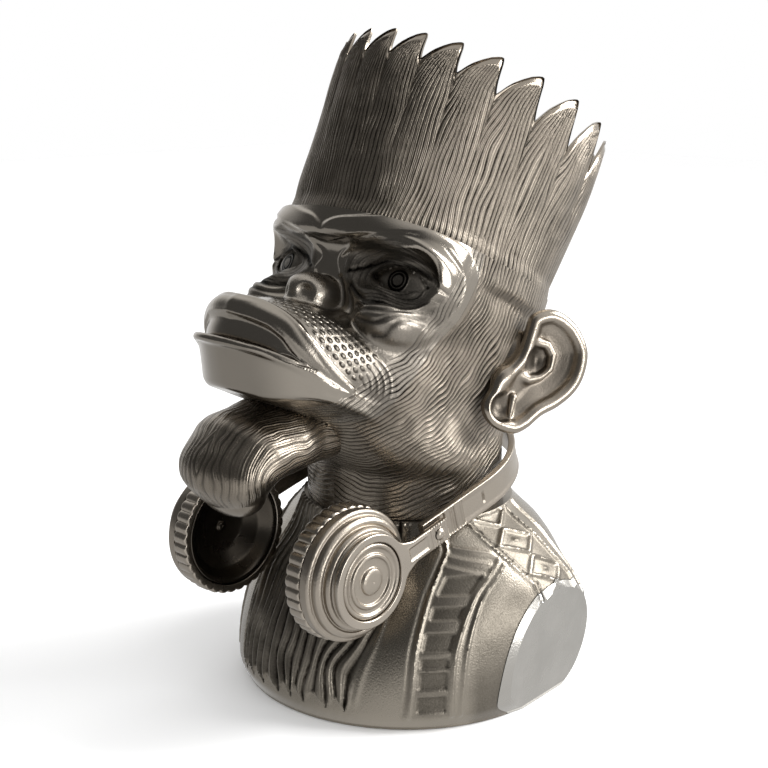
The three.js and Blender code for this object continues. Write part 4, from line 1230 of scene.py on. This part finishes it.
print("the crown has", TEETH, "teeth, and its tips lie", round(float(crown_points[:, 2].max())),
      "mm above the head's middle")

# %% [markdown]
# ### Torso
#
# A hollow dome that wears an open vest. Its relief is chased: two ladders run down the lapels,
# a lattice band crosses each shoulder, and pleated hair shows at the chest. The panels between
# them are left satin, and the side panels are darkened with painted shade.

# %% The torso's dome
TORSO_HALF = np.array([88.0, 83.0, 94.0])
# The dome's sections: height, width, depth and how far back the middle lies, as shares of these.
SECTION = np.array([[-0.2, 0.9, 0.94, -0.02], [0, 0.94, 0.98, -0.02], [0.1, 0.99, 1.03, -0.01],
                    [0.42, 1, 0.97, 0.03], [0.66, 0.95, 0.84, 0.07], [0.85, 0.82, 0.71, 0.08],
                    [1, 0.62, 0.64, 0.03], [1.2, 0.58, 0.6, 0.02]])


def eased(share, at, value):
    """Reads a table on a smooth curve through its rows."""
    at, value = np.asarray(at), np.asarray(value)
    row = np.clip(np.searchsorted(at, share, side="right") - 1, 0, len(at) - 2)
    before, after = np.maximum(np.arange(len(at)) - 1, 0), np.minimum(np.arange(len(at)) + 1, len(at) - 1)
    slope = (value[after] - value[before]) / (at[after] - at[before])
    run = at[row + 1] - at[row]
    t = np.clip((share - at[row]) / run, 0, 1)
    return ((2 * t ** 3 - 3 * t ** 2 + 1) * value[row] + (t ** 3 - 2 * t ** 2 + t) * run * slope[row]
            + (3 * t ** 2 - 2 * t ** 3) * value[row + 1] + (t ** 3 - t ** 2) * run * slope[row + 1])


def torso_field(points):
    share = points[:, 2] / TORSO_HALF[2]
    width, depth, middle = [eased(share, SECTION[:, 0], SECTION[:, column]) for column in (1, 2, 3)]
    half_width, half_depth, middle = width * TORSO_HALF[0], depth * TORSO_HALF[1], middle * TORSO_HALF[1]
    ring = np.hypot(points[:, 0] / half_width, (points[:, 1] - middle) / half_depth)
    dome = (ring - 1) * np.minimum(half_width, half_depth)
    shoulder = lobe(mirrored(points), np.array([0.68, 0.22, 0.33]) * TORSO_HALF,
                    np.array([0.43, 0.48, 0.41]) * TORSO_HALF)
    return blend(dome, shoulder, 0.11 * TORSO_HALF[2])

# %% [markdown]
# ### The vest's relief
#
# Rails, bars, windows and lattice are read off along and across the lapel and the shoulder, and
# turned into ridges and sunk fields about a millimetre deep.

# %% The vest's relief
# The vest's lines on the left side. Down the lapel they are given by height: degrees round from
# the front at each height in mm. Over the shoulder they are given by the way across it.
RAIL_UP = [2, 9.6, 20, 41.5, 62, 72, 82]
INNER_RAIL = [45.5, 45.9, 46.6, 48.3, 53.2, 57.8, 63.4]
OUTER_RAIL = [59.3, 59.4, 59.5, 61.5, 69.2, 77.7, 88]
EDGE_RAIL = [62.2, 62.4, 62.9, 65.2, 72.3, 81.6, 92]
WINDOWS = [(64, 71.5), (53.5, 59), (39.8, 47.8), (32, 36.5), (22, 30), (10.5, 18)]
SLANTED_BARS = [75.5, 79.5, 83.5]
STRAP_AT = [-42, -30, -12, 2, 14]
STRAP_INNER = [-14, -12, -9, -3, 4]
STRAP_OUTER = [15.5, 17.5, 22, 28, 35]
STRAP_EDGE = [26, 29, 33, 38, 44]
DIAMOND_PITCH = 18
PLEAT_DEGREES = 5.4


def ridge(distance, width=0.9):
    return np.exp(-(distance / width) ** 2)


def span(value, low, high, soft):
    return smooth_step(value, low - soft, low + soft) * (1 - smooth_step(value, high - soft, high + soft))


def lapel_marks(q):
    """Height and dirt of the ladder that runs down the lapel."""
    degrees = np.degrees(np.arctan2(q[:, 0], -q[:, 1]))
    inner, outer, edge = [eased(q[:, 2], RAIL_UP, rail) for rail in (INNER_RAIL, OUTER_RAIL, EDGE_RAIL)]
    across = (degrees - inner) / (outer - inner)
    crossing = (q[:, 0] - q[:, 2]) / math.sqrt(2)
    on_front = span(degrees, 20, 95, 3) * smooth_step(eased(crossing, STRAP_AT, STRAP_INNER) - q[:, 1], 2, 4)
    on_front *= smooth_step(q[:, 2], 6, 9)
    mm_a_degree = 83 * math.pi / 180
    height = 0.9 * ridge((degrees - inner) * mm_a_degree) + 0.9 * ridge((degrees - outer) * mm_a_degree)
    height += 0.8 * ridge((degrees - edge) * mm_a_degree) - 0.5 * span(degrees, inner - 2.4, inner - 0.9, 0.4)
    bars = span(across, 0.06, 0.94, 0.03)
    windows = sum(span(q[:, 2], low, high, 0.5) for low, high in WINDOWS) * span(across, 0.16, 0.86, 0.04)
    slants = sum(ridge(q[:, 2] + 5 * across - at) for at in SLANTED_BARS)
    height += bars * (0.7 * slants - 1.1 * windows - 0.15)
    patina_and_shade = bars * (0.25 + 0.35 * windows) + 0.25 * span(degrees, inner - 2.6, inner - 0.8, 0.5)
    return on_front * height, on_front * patina_and_shade, on_front * span(degrees, inner - 3, edge + 1, 0.5)


def strap_marks(q):
    """Height and dirt of the lattice band over the shoulder."""
    crossing = (q[:, 0] - q[:, 2]) / math.sqrt(2)
    inner, outer, edge = [eased(crossing, STRAP_AT, row) for row in (STRAP_INNER, STRAP_OUTER, STRAP_EDGE)]
    here = smooth_step(q[:, 2], 40, 50) * smooth_step(q[:, 0], 28, 33)
    inside = span(q[:, 1], inner, outer, 0.8)
    half = (outer - inner) / 2
    along = (crossing / DIAMOND_PITCH) % 1 - 0.5
    sideways = (q[:, 1] - inner - half) / half
    loop = np.abs(along) / 0.44 + np.abs(sideways) / 0.78
    height = 0.9 * ridge(q[:, 1] - inner) + 0.8 * ridge(q[:, 1] - inner - 2.6) + 0.9 * ridge(q[:, 1] - outer)
    height += 0.8 * ridge(q[:, 1] - edge) - 0.5 * inside - 0.3 * span(q[:, 1], outer + 1.2, edge - 1.2, 0.5)
    height += inside * (1.3 * ridge((loop - 1) * 6, 0.9) + 0.9 * ridge(loop * 6, 1.2) - 0.3)
    patina_and_shade = 0.5 * inside * (1 - ridge((loop - 1) * 6, 1.1))
    return here * height, here * patina_and_shade, here * span(q[:, 1], inner - 1, edge + 1, 0.5)


def chest_marks(points):
    """Height, and the phase of the pleated hair at the chest."""
    q = mirrored(points)
    degrees = np.degrees(np.arctan2(points[:, 0], -points[:, 1])) + 3 * noise(points, 30)
    limit = 26 + 0.2 * np.maximum(0, q[:, 2] - 12)
    gather = 1 + 0.012 * np.clip(60 - q[:, 2], 0, 60)
    phase = degrees * gather / PLEAT_DEGREES + 0.5 * noise(points, 14)
    tips = 9 + 7 * np.abs((phase / 2) % 1 - 0.5) * 2
    here = (1 - smooth_step(np.abs(degrees), limit - 1, limit + 1)) * smooth_step(q[:, 2] - tips, -0.6, 0.6)
    height = here * (1.4 - 1.9 * groove(phase, 3))
    height += 0.8 * ridge((np.abs(degrees) - limit - 2) * 1.45, 1.2) * smooth_step(q[:, 2], 10, 16)
    return height, here, phase


def torso_marks(points):
    q = mirrored(points)
    lapel, lapel_dirt, lapel_here = lapel_marks(q)
    strap, strap_dirt, strap_here = strap_marks(q)
    chest, chest_here, phase = chest_marks(points)
    height = lapel + strap + chest
    patina_and_shade = lapel_dirt + strap_dirt + 0.2 * chest_here
    plain = 1 - np.clip(lapel_here + strap_here + chest_here, 0, 1)
    side = span(np.degrees(np.arctan2(q[:, 0], -q[:, 1])), 66, 120, 3) * (1 - smooth_step(q[:, 2], 60, 70))
    polish_and_light = plain * np.clip(0.3 + 0.15 * side + 0.5 * (1 - smooth_step(q[:, 2], 6, 9)), 0, 1)
    # The side panels get painted shade: a darker colour from more patina and less polish.
    return height, patina_and_shade + 0.55 * plain * side, polish_and_light * (1 - 0.6 * side), chest_here, phase


def torso_closed(points):
    metal = torso_field(points)
    return np.maximum(np.maximum(metal, points[:, 2] - 97), -2 - points[:, 2])

# %% [markdown]
# ### Casting and cutting the torso
#
# The dome is skinned, moved by its relief, cut flat below and above, and sawn off at both arms.
# The sawn faces are thin plates of their own, ground and left pale.

# %% Casting the torso
points, faces = skin(torso_closed, (-100, -92, -6), (100, 92, 100), 0.9)
value, slope = slope_of(torso_field, points)
on_skin = (np.abs(value) < 0.3) & (points[:, 2] > 1.5) & (points[:, 2] < 93)
points += np.where(on_skin, torso_marks(points)[0], 0)[:, None] * slope
torso = add_object("torso_casting", points, faces)
cut(torso, box_between("above_torso", (-200, -200, 94), (200, 200, 300)))
cut(torso, box_between("below_torso", (-200, -200, -100), (200, 200, 0.5)))


STUMP_MIDDLE = (85, 18, 30.6)
STUMP_TURN = math.radians(6)                # the cut looks a little up and a little back
FACE_DEPTH = 2.6
FACE_SEAM = 0.3


def beyond_stump(depth, side):
    """Everything outside the flat cut through an arm, or outside a plane that much deeper."""
    matrix = (Matrix.Translation(STUMP_MIDDLE) @ Matrix.Rotation(STUMP_TURN, 4, "Z")
              @ Matrix.Rotation(STUMP_TURN, 4, "Y"))
    block = itertools.product((-depth, 300), (-300, 300), (-300, 300))
    corners = [matrix @ Vector(corner) for corner in block]
    return hull("stump", [(side * c.x, c.y, c.z) for c in corners])


caps = []
for side, place in ((1, "left"), (-1, "right")):
    cap = copy_of(torso, f"arm_face_{place}")
    cut(cap, beyond_stump(FACE_DEPTH, side), "INTERSECT")
    cut(cap, beyond_stump(0.0, side))
    caps.append(cap)
for side in (1, -1):
    cut(torso, beyond_stump(FACE_DEPTH + FACE_SEAM, side))
cut(torso, rod_between("bore", 33, 60, 120))
cut(torso, rod_between("bore", 60, -10, 60))
print("torso and arm faces are cut")

# %% [markdown]
# ### Headphones
#
# Turned and cast pieces round one axis on each side: a ribbed pad, a stepped shell, the bowl
# inside, a ring with its slider arm, and a medallion with plain rings. The band is bent from one
# strip and carries the slider's ridges.

# %% Turning a piece
CUP_MIDDLE = np.array([36.5, -83, 82.6])
BAND_TILT = math.radians(15.2)
RIBS = 36


def rounded(outline, size, steps=4):
    """A closed outline with each corner replaced by a small curve."""
    outline = np.array(outline, float)
    made = []
    for before, corner, after in zip(np.roll(outline, 1, 0), outline, np.roll(outline, -1, 0)):
        back, on = before - corner, after - corner
        back_length, on_length = np.hypot(*back), np.hypot(*on)
        start = corner + back / back_length * min(size, 0.45 * back_length)
        end = corner + on / on_length * min(size, 0.45 * on_length)
        for t in np.linspace(0, 1, steps):
            made.append((1 - t) ** 2 * start + 2 * t * (1 - t) * corner + t ** 2 * end)
    return np.array(made)


def cup_to_world(local, side):
    return np.array([side, 1, 1]) * (local + CUP_MIDDLE)


def on_bottle_axis(local, _side):
    """From a height along the bottle's axis and two places across it into the figure's frame."""
    return to_world(local[:, [1, 2, 0]] + (0, AXIS_FORWARD, 0))


def lathe(name, outline, side, sides=120, rib=0.0, shift=(0, 0), place=cup_to_world):
    """Turns a closed outline of radius and outward distance round the ear cup's or the bottle's axis."""
    turn = 2 * math.pi * np.arange(sides) / sides
    radius, out = [np.repeat(outline[:, i:i + 1], sides, 1) for i in (0, 1)]
    ribbed = rib * (1 - np.abs(np.sin(RIBS * turn / 2)) ** 0.7) * smooth_step(radius, 29.5, 31)
    radius = radius - ribbed
    points = np.stack([out, radius * np.cos(turn) + shift[0], radius * np.sin(turn) + shift[1]], -1)
    faces = ring_faces(len(outline), sides)
    return add_object(name, place(points.reshape(-1, 3), side), faces if side > 0 else faces[:, ::-1])

# %% [markdown]
# ### The ear cups' outlines
#
# Each outline is what a lathe tool would follow. The slider arm is flat stock with a ring at its
# end, so it is a skinned slab with a window and fine ridges.

# %% Outlines and slider arm
# Outlines of the turned pieces: radius and outward distance in mm.
PAD = [(27.6, 0.2), (31.2, 0), (32.1, 1), (32.1, 8), (31.4, 9), (27.6, 9)]
SHELL = [
    (31.2, 9.3), (31.2, 13.4), (30.2, 14.3), (28.6, 14.3), (28.6, 15.2), (28.4, 17), (26.8, 18.2),
    (25.4, 18.2), (25.2, 17.4), (24.2, 17.4), (24.4, 19.4), (23.4, 20.8), (21.8, 20.8), (21.6, 21.7),
    (0.05, 21.7), (0.05, 19.3), (19.4, 19.3), (22.6, 14.3), (28.8, 9.3)]
BOWL = [
    (27.3, 1), (26, 0.8), (24.6, 1.8), (20.5, 6.6), (12.4, 10.2), (2.6, 11.7), (1.9, 10.7),
    (0.05, 10.4), (0.05, 13.6), (12.4, 11.9), (21.3, 9.2), (26.6, 5.6), (27.3, 4)]
MEDALLION = [
    (18, 22), (18, 23.6), (17.2, 24.4), (16, 24.4), (15.2, 23.4), (13.4, 23.2), (12.8, 24.3),
    (11.4, 24.5), (10.8, 23.3), (6.6, 23.2), (6, 24.6), (4.6, 25), (0.05, 25.2), (0.05, 22)]
RIVET = [(0.05, 26.6), (1.7, 26.4), (3.1, 25.3), (1.5, 25.3), (1.5, 19), (0.05, 19)]
ARM_LENGTH, RIVET_REACH = 52, 45.5


def yoke_field(points):
    """A ring and its slider arm, with along, across and outward places."""
    along, across, out = points.T
    ring_gap = np.abs(np.hypot(along, across) - 20.3) - 2.0
    half = 5.6 + 3.4 * (1 - smooth_step(along, 18, 30))
    arm = np.maximum(np.maximum(np.abs(across) - half, along - ARM_LENGTH), 19 - along)
    flat = blend(ring_gap, arm, 2.5)
    flat = np.maximum(flat, 18.3 - np.hypot(along, across))
    flat = np.maximum(flat, 1.9 - np.hypot(along - RIVET_REACH, across))
    window = np.maximum(np.abs(along - 31) - 6.4, np.abs(across) - 3.4)
    frame_line = np.abs(window) - 0.5
    face_height = 24.9 - 0.7 * smooth_step(-window, -0.3, 0.5) + 0.25 * (1 - smooth_step(frame_line, 0, 0.6))
    ridges = 0.35 * np.cos(2 * math.pi * along / 1.7) * smooth_step(along, 39.5, 40.5)
    face_height = face_height + ridges * (np.hypot(along - RIVET_REACH, across) > 3.4)
    slab = np.maximum(out - face_height, 22 - out)
    return carve(slab, -flat, 0.9)

# %% [markdown]
# ### The band
#
# The strip is swept round the back of the neck. Ridges and a slot are raised on its outer face.

# %% The band
def band_casting():
    """The strip, bent round the back of the neck, with relief on its outer face."""
    outer, back, bend = 58.2, 59.1, 83 / math.cos(BAND_TILT)
    straight = [(outer, y) for y in np.arange(39, bend, 0.4)]
    round_part = [(outer * math.cos(t), bend + back * math.sin(t)) for t in np.linspace(0, math.pi / 2, 230)]
    half = np.array(straight + round_part)
    line = np.vstack([half, (half * (-1, 1))[-2::-1]])
    way = np.gradient(line, axis=0)
    way /= np.hypot(*way.T)[:, None]
    outward = np.column_stack([way[:, 1], -way[:, 0]])
    run = np.concatenate([[0], np.cumsum(np.hypot(*np.diff(line, axis=0).T))])
    run = np.minimum(run, run[-1] - run)
    edges = np.roll(rounded([(0, -7.5), (0, 7.5), (-3.6, 7.5), (-3.6, -7.5)], 0.9, 5), -5, 0)
    section = np.vstack([[(0, v) for v in np.linspace(-6.4, 6.4, 17)], edges[edges[:, 0] < -0.02]])
    depth, height = section.T
    relief = 0.45 * np.cos(2 * math.pi * run / 1.9) * span(run, 13.6, 28, 0.3)
    slot = -0.7 * span(run, 42, 43.4, 0.2)
    rail = 0.3 * span(run, 27.5, 140, 0.5)
    on_face = (depth > -0.02)[None, :]
    shift = relief[:, None] + slot[:, None] * (np.abs(height) < 2.6) + rail[:, None] * (np.abs(height) > 5.4)
    offset = depth[None, :] + np.where(on_face, shift - 0.45, 0)
    ring = line[:, None, :] + outward[:, None, :] * offset[..., None]
    points = np.concatenate([ring, np.broadcast_to(height, offset.shape)[..., None]], -1)
    sides = len(section)
    index = np.arange(len(line) * sides).reshape(-1, sides)
    right = np.roll(index, -1, 1)
    faces = np.stack([index[:-1], right[:-1], right[1:], index[1:]], -1).reshape(-1, 4)
    faces = [*faces.tolist(), index[0][::-1].tolist(), index[-1].tolist()]
    x, y, z = points.reshape(-1, 3).T
    c, s = math.cos(BAND_TILT), math.sin(BAND_TILT)
    return add_object("band_strip", np.column_stack([x, y * c - z * s - 83, y * s + z * c + 82.6]), faces)


# %% [markdown]
# ## Finishes for each piece
#
# The whisker skin is punched with small oval dimples in staggered rows, 3.1 mm from row to row.
# Two rings are cut into the eyeball, round the iris and round the pupil.


# %% Whiskers and eyes
def split(tree, name):
    """The three numbers of a mark."""
    parts = tree.nodes.new("ShaderNodeSeparateXYZ")
    tree.links.new(add(tree, "ShaderNodeAttribute", attribute_name=name, out=1), parts.inputs[0])
    return parts.outputs


def bell(tree, value, middle, width):
    """1 at a value and falling off beside it within a width."""
    gap = math_of(tree, "DIVIDE", math_of(tree, "SUBTRACT", value, middle), width)
    return math_of(tree, "POWER", 0.37, math_of(tree, "MULTIPLY", gap, gap))


DIMPLE_PITCH, DIMPLE_ROW = 4.8, 3.1
PUPIL, IRIS = 3.0, 4.8


def face_pattern(tree):
    """The height and the shade of the whiskers' dimples and the eyes' rings."""
    along, away, amount = split(tree, "whiskers")
    row = math_of(tree, "DIVIDE", away, DIMPLE_ROW)
    shift = math_of(tree, "MULTIPLY", math_of(tree, "MODULO", math_of(tree, "FLOOR", row), 2.0), 0.5)
    seat = math_of(tree, "ADD", math_of(tree, "DIVIDE", along, DIMPLE_PITCH), shift)
    oval = []
    for place, pitch, half in ((seat, DIMPLE_PITCH, 1.5), (row, DIMPLE_ROW, 0.95)):
        off = math_of(tree, "SUBTRACT", math_of(tree, "FRACT", place), 0.5)
        off = math_of(tree, "MULTIPLY", off, pitch / half)
        oval.append(math_of(tree, "MULTIPLY", off, off))
    oval = math_of(tree, "ADD", *oval)
    dimple = math_of(tree, "POWER", 0.3, math_of(tree, "MULTIPLY", oval, oval))
    dimple = math_of(tree, "MULTIPLY", dimple, amount)
    x, y, shows = split(tree, "eye")
    far = math_of(tree, "ADD", math_of(tree, "MULTIPLY", x, x), math_of(tree, "MULTIPLY", y, y))
    far = math_of(tree, "SQRT", far)
    rings = math_of(tree, "ADD", bell(tree, far, IRIS - 0.1, 0.5), bell(tree, far, PUPIL, 0.4))
    rings = math_of(tree, "MULTIPLY", rings, shows)
    iris = math_of(tree, "MULTIPLY", math_of(tree, "LESS_THAN", far, IRIS), shows)
    low = math_of(tree, "MULTIPLY", rings, -0.9)
    height = math_of(tree, "MULTIPLY_ADD", dimple, -1.5, low)
    shade = math_of(tree, "MULTIPLY_ADD", dimple, 0.35, rings)
    return height, math_of(tree, "MULTIPLY_ADD", iris, 0.25, shade)


# %% [markdown]
# ## Dressing the pieces
#
# The hair is the darkest casting and the cut arm faces are the palest, since they were only ground.
# Each metal has its pale colour, the colour of its grooves, and its roughness plain and polished.

# %% The metals of this bust
cast_hair = cast_metal("chased_hair", "938a7e", "15120f", 0.34, 0.17, hair=1.3)
face_metal = cast_metal("buffed_face", "979086", "100e0c", 0.3, 0.19, hair=0.9, pattern=face_pattern)
ear_metal = cast_metal("satin_casting", "9d9488", "2a241e", 0.32, 0.18)
torso_metal = cast_metal("torso_casting", "8f887d", "2c2822", 0.32, 0.16, hair=0.7)
cap_metal = plain_metal("ground_aluminium", "b4b1ab", 0.26, 0.2)
steel_metal = plain_metal("satin_steel", "8d8f92", 0.34, 0.05, streak=(1, 1, 0.05))
headphone_metal = plain_metal("cast_headphone", "a89f93", 0.32, 0.3)
bright_metal = plain_metal("bright_headphone", "b3aa9e", 0.24, 0.1)
dark_metal = plain_metal("dark_bowl", "58524a", 0.24, 0.1)
print(len(bpy.data.materials), "materials so far")

for obj, nodes in ((head_shell, ["head_shell"]), (face, ["face_mask"]), (jaw, ["lower_jaw"])):
    local = to_head(points_of(obj))
    _, hair, polish_and_light, patina_and_shade, strands = head_marks(local)
    set_marks(obj, "strands", strands)
    set_marks(obj, "hair", hair)
    set_marks(obj, "polish_and_light", polish_and_light)
    set_marks(obj, "patina_and_shade", patina_and_shade)
    if obj is not head_shell:
        set_marks(obj, "whiskers", whisker_place(local))
        set_marks(obj, "eye", eye_place(local))
    finish_piece(obj, cast_hair if obj is head_shell else face_metal, "bust", nodes)

local = to_head(points_of(goatee))
_, phase, tip = goatee_marks(local)
set_marks(goatee, "strands", one_phase(phase))
set_marks(goatee, "hair", 1 - tip)
# The whole lock gets half polish: smoother, and lighter in colour as painted light. The tip is polished
# bright.
set_marks(goatee, "polish_and_light", 0.45 + 0.45 * tip)
set_marks(goatee, "patina_and_shade", np.zeros(len(tip)))
finish_piece(goatee, cast_hair, "bust", ["goatee"])
for ear, place in zip(ears, ("left", "right")):
    polish_and_light, patina_and_shade = ear_marks(world_to_ear(points_of(ear)))
    set_marks(ear, "polish_and_light", polish_and_light)
    set_marks(ear, "patina_and_shade", patina_and_shade)
    finish_piece(ear, ear_metal, "bust", [f"ear_{place}"])
finish_piece(crown, cast_hair, "bust", ["hair_crown"])
_, patina_and_shade, polish_and_light, hair, phase = torso_marks(points_of(torso))
set_marks(torso, "strands", one_phase(phase))
set_marks(torso, "hair", hair)
set_marks(torso, "polish_and_light", polish_and_light)
set_marks(torso, "patina_and_shade", np.clip(patina_and_shade, 0, 0.9))
finish_piece(torso, torso_metal, "bust", ["torso_shell"])
for cap, place in zip(caps, ("left", "right")):
    finish_piece(cap, cap_metal, "bust", [f"arm_cap_{place}"], crisp=20)

# %% [markdown]
# ### Ear cups, band and liner
#
# The turned pieces are made once for each side. The liner is a plain spun cup that lifts out.

# %% Both ear cups and the liner
yoke_points, yoke_faces = skin(yoke_field, (-24, -24, 20.8), (54, 24, 26.4), 0.45)
along, across, out = yoke_points.T
c, s = math.cos(BAND_TILT), math.sin(BAND_TILT)
yoke_local = np.column_stack([out, along * c - across * s, along * s + across * c])
for side, place in ((1, "left"), (-1, "right")):
    pad = lathe(f"pad_{place}", rounded(PAD, 0.7), side, RIBS * 10, 1.0)
    finish_piece(pad, bright_metal, "bust", [f"ear_pad_{place}"])
    for name, outline, corner, material, node in (
            ("shell", SHELL, 0.45, headphone_metal, "earcup"), ("bowl", BOWL, 1.2, dark_metal, "dish"),
            ("rings", MEDALLION, 0.4, headphone_metal, "medallion")):
        turned = lathe(f"{name}_{place}", rounded(outline, corner), side)
        finish_piece(turned, material, "bust", [f"{node}_{place}"])
    rivet = lathe(f"rivet_{place}", rounded(RIVET, 0.4), side, 32, 0.0, (RIVET_REACH * c, RIVET_REACH * s))
    finish_piece(rivet, bright_metal, "bust", [f"band_rivet_{place}"])
    faces = yoke_faces if side > 0 else yoke_faces[:, ::-1]
    yoke = add_object(f"slider_{place}", cup_to_world(yoke_local, side), faces)
    finish_piece(yoke, bright_metal, "bust", [f"yoke_{place}"])
finish_piece(band_casting(), headphone_metal, "bust", ["headband"])

# The liner is spun from 2 mm sheet: a flat floor, a straight wall and a flange at its rim.
LINER_RADIUS, LINER_FLANGE, LINER_FLOOR, LINER_WALL = 49, 56, -20, 2
liner_top = to_head(points_of(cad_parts["bottle_cup"]))[:, 2].max()
print("the liner's flange lies", round(float(liner_top), 1), "mm up the bottle's axis")
liner_inside, liner_seat = LINER_RADIUS - LINER_WALL, liner_top - LINER_WALL
outline = [
    (0.05, LINER_FLOOR), (LINER_RADIUS, LINER_FLOOR), (LINER_RADIUS, liner_seat),
    (LINER_FLANGE, liner_seat), (LINER_FLANGE, liner_top), (liner_inside, liner_top),
    (liner_inside, LINER_FLOOR + LINER_WALL), (0.05, LINER_FLOOR + LINER_WALL)]
liner = lathe("spun_liner", rounded(outline, 0.8), -1, 160, place=on_bottle_axis)
finish_piece(liner, steel_metal, "bottle_cup", ["bottle_cup"])

# %% [markdown]
# ### Felt, cork and what stays plain
#
# Felt and cork are rough and speckled. Screws, bolts, base plate and pad keep their solids.

# %% Felt, cork and small parts
def cloth_like(name, light, dark, size):
    material, tree, shader = new_material(name)
    place = add(tree, "ShaderNodeTexCoord", out=3)
    fine = add(tree, "ShaderNodeTexNoise", {"Vector": place, "Scale": 1000 / size, "Detail": 5.0})
    colour = add(tree, "ShaderNodeMix", {0: fine, 6: linear(light), 7: linear(dark)}, 2, data_type="RGBA")
    tree.links.new(colour, shader["Base Color"])
    shader["Roughness"].default_value = 0.92
    bump = add(tree, "ShaderNodeBump", {"Height": fine, "Strength": 0.6, "Distance": 0.0004})
    tree.links.new(bump, shader["Normal"])
    return material


# Wool felt with a speckle of 0.8 mm, and pressed cork with grains of about 2 mm.
felt = cloth_like("pressed_felt", "343437", "1c1c1e", 0.8)
cork = cloth_like("pressed_cork", "b8946a", "7a5a38", 2.2)
solid_finishes = {"base_plate": headphone_metal, "base_felt": felt, "cup_pad": cork}
for name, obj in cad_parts.items():
    obj.data.materials.clear()
    obj.data.materials.append(solid_finishes.get(name, steel_metal))
print("the screws, bolts, base, felt and cork pad keep their CAD solids")

# %% [markdown]
# ## Light, floor and camera
#
# Polished metal shows what stands round it. The bust stands on a pale floor in a tent that only
# the metal sees: dark in front and on the left, open behind and on the right. One large soft box
# at the back right gives the bright side its highlights, and a small low one lifts the cheek.

# %% Lights and tent
def soft_box(name, place, size, power, target=(0, 0, 0.17)):
    light = bpy.data.lights.new(name, "AREA")
    light.shape = "RECTANGLE"
    light.size, light.size_y = size
    light.energy = power
    made = bpy.data.objects.new(name, light)
    made.location = place
    made.rotation_euler = (Vector(target) - Vector(place)).to_track_quat("-Z", "Y").to_euler()
    bpy.context.scene.collection.objects.link(made)
    return made


TENT_RADIUS = 1900
DARK_BEARING, DARK_GROUND_BEARING = -106, -125   # degrees round from the figure's left side


def surroundings():
    """What the metal mirrors: a tent that is dark in front and on the left and open elsewhere."""
    turn, rise = np.meshgrid(np.radians(np.arange(0, 360, 4)), np.radians(np.arange(0, 89, 4)))
    dome = np.stack([np.cos(turn) * np.cos(rise), np.sin(turn) * np.cos(rise), np.sin(rise)], -1)
    ground = np.stack([np.cos(turn), np.sin(turn), np.full(turn.shape, 0.001)], -1)[:6]
    ground[..., :2] *= np.array([0.02, 0.2, 0.4, 0.6, 0.8, 1])[:, None, None]
    way = np.concatenate([ground, dome])
    rows, sides = way.shape[:2]
    index = np.arange(rows * sides).reshape(rows, sides)
    right = np.roll(index, -1, 1)
    faces = np.stack([index[:-1], index[1:], right[1:], right[:-1]], -1).reshape(-1, 4)
    made = add_object("surroundings", way.reshape(-1, 3) * TENT_RADIUS, faces)
    bearing = np.degrees(np.arctan2(way[..., 1], way[..., 0]))
    gap = (bearing - DARK_BEARING + 180) % 360 - 180
    dark = (1 - smooth_step(gap, 66, 118)) * (1 - smooth_step(-gap, 50, 84))
    high = np.degrees(np.arcsin(np.clip(way[..., 2], 0, 1)))
    shade = 1 - 0.88 * dark * (1 - smooth_step(high, 52, 84))
    ground_gap = np.abs((bearing[:6] - DARK_GROUND_BEARING + 180) % 360 - 180)
    shade[:6] = 0.97 - 0.4 * (1 - smooth_step(ground_gap, 30, 76))
    set_marks(made, "shade", shade.ravel())
    material, tree, shader = new_material("tent")
    shader["Base Color"].default_value = (0, 0, 0, 1)
    shader["Specular IOR Level"].default_value = 0
    tree.links.new(add(tree, "ShaderNodeAttribute", attribute_name="shade"), shader["Emission Color"])
    shader["Emission Strength"].default_value = 1
    material.cycles.emission_sampling = "NONE"
    made.data.materials.append(material)
    made.visible_camera = False
    made.visible_shadow = False
    made.visible_diffuse = False

# %% [markdown]
# ### World and floor
#
# The white world lights everything evenly, and the floor keeps a soft shadow.

# %% World and floor
world = bpy.data.worlds.new("studio")
bpy.context.scene.world = world
world.use_nodes = True
tree = world.node_tree
tree.nodes["Background"].inputs["Strength"].default_value = 1.0
tree.nodes["Background"].inputs["Color"].default_value = (1, 1, 1, 1)

floor = add_object("floor", [(-3000, -3000, 0), (3000, -3000, 0), (3000, 3000, 0), (-3000, 3000, 0)],
                   [(0, 1, 2, 3)])
floor_material, tree, shader = new_material("pale_floor")
shader["Base Color"].default_value = (0.99, 0.99, 0.99, 1)
shader["Roughness"].default_value = 0.8
floor.data.materials.append(floor_material)

surroundings()
soft_box("key", (0.74, 0.88, 0.82), (0.8, 0.8), 30)
soft_box("low", (1.1, 0.0, 0.14), (0.5, 0.5), 6)
print("two soft boxes, a white world and a tent")

# %% [markdown]
# ### Camera
#
# The camera stands where the photographer stood: to the left of the figure's front and a little
# above it.

# %% Camera
# Fitted to the photograph with the crown's width as its scale.
CAMERA_PLACE = (0.49497, -0.50997, 0.3206)
CAMERA_AIM = (0, -0.015, 0.1526)
camera = bpy.data.cameras.new("camera")
camera.sensor_width = 36
camera.lens = 67.27
camera_object = bpy.data.objects.new("camera", camera)
camera_object.location = CAMERA_PLACE
aim = Vector(CAMERA_AIM) - camera_object.location
camera_object.rotation_euler = aim.to_track_quat("-Z", "Y").to_euler()
bpy.context.scene.collection.objects.link(camera_object)
bpy.context.scene.camera = camera_object
bpy.context.scene.view_settings.view_transform = "Standard"

discard(*TOOLS)
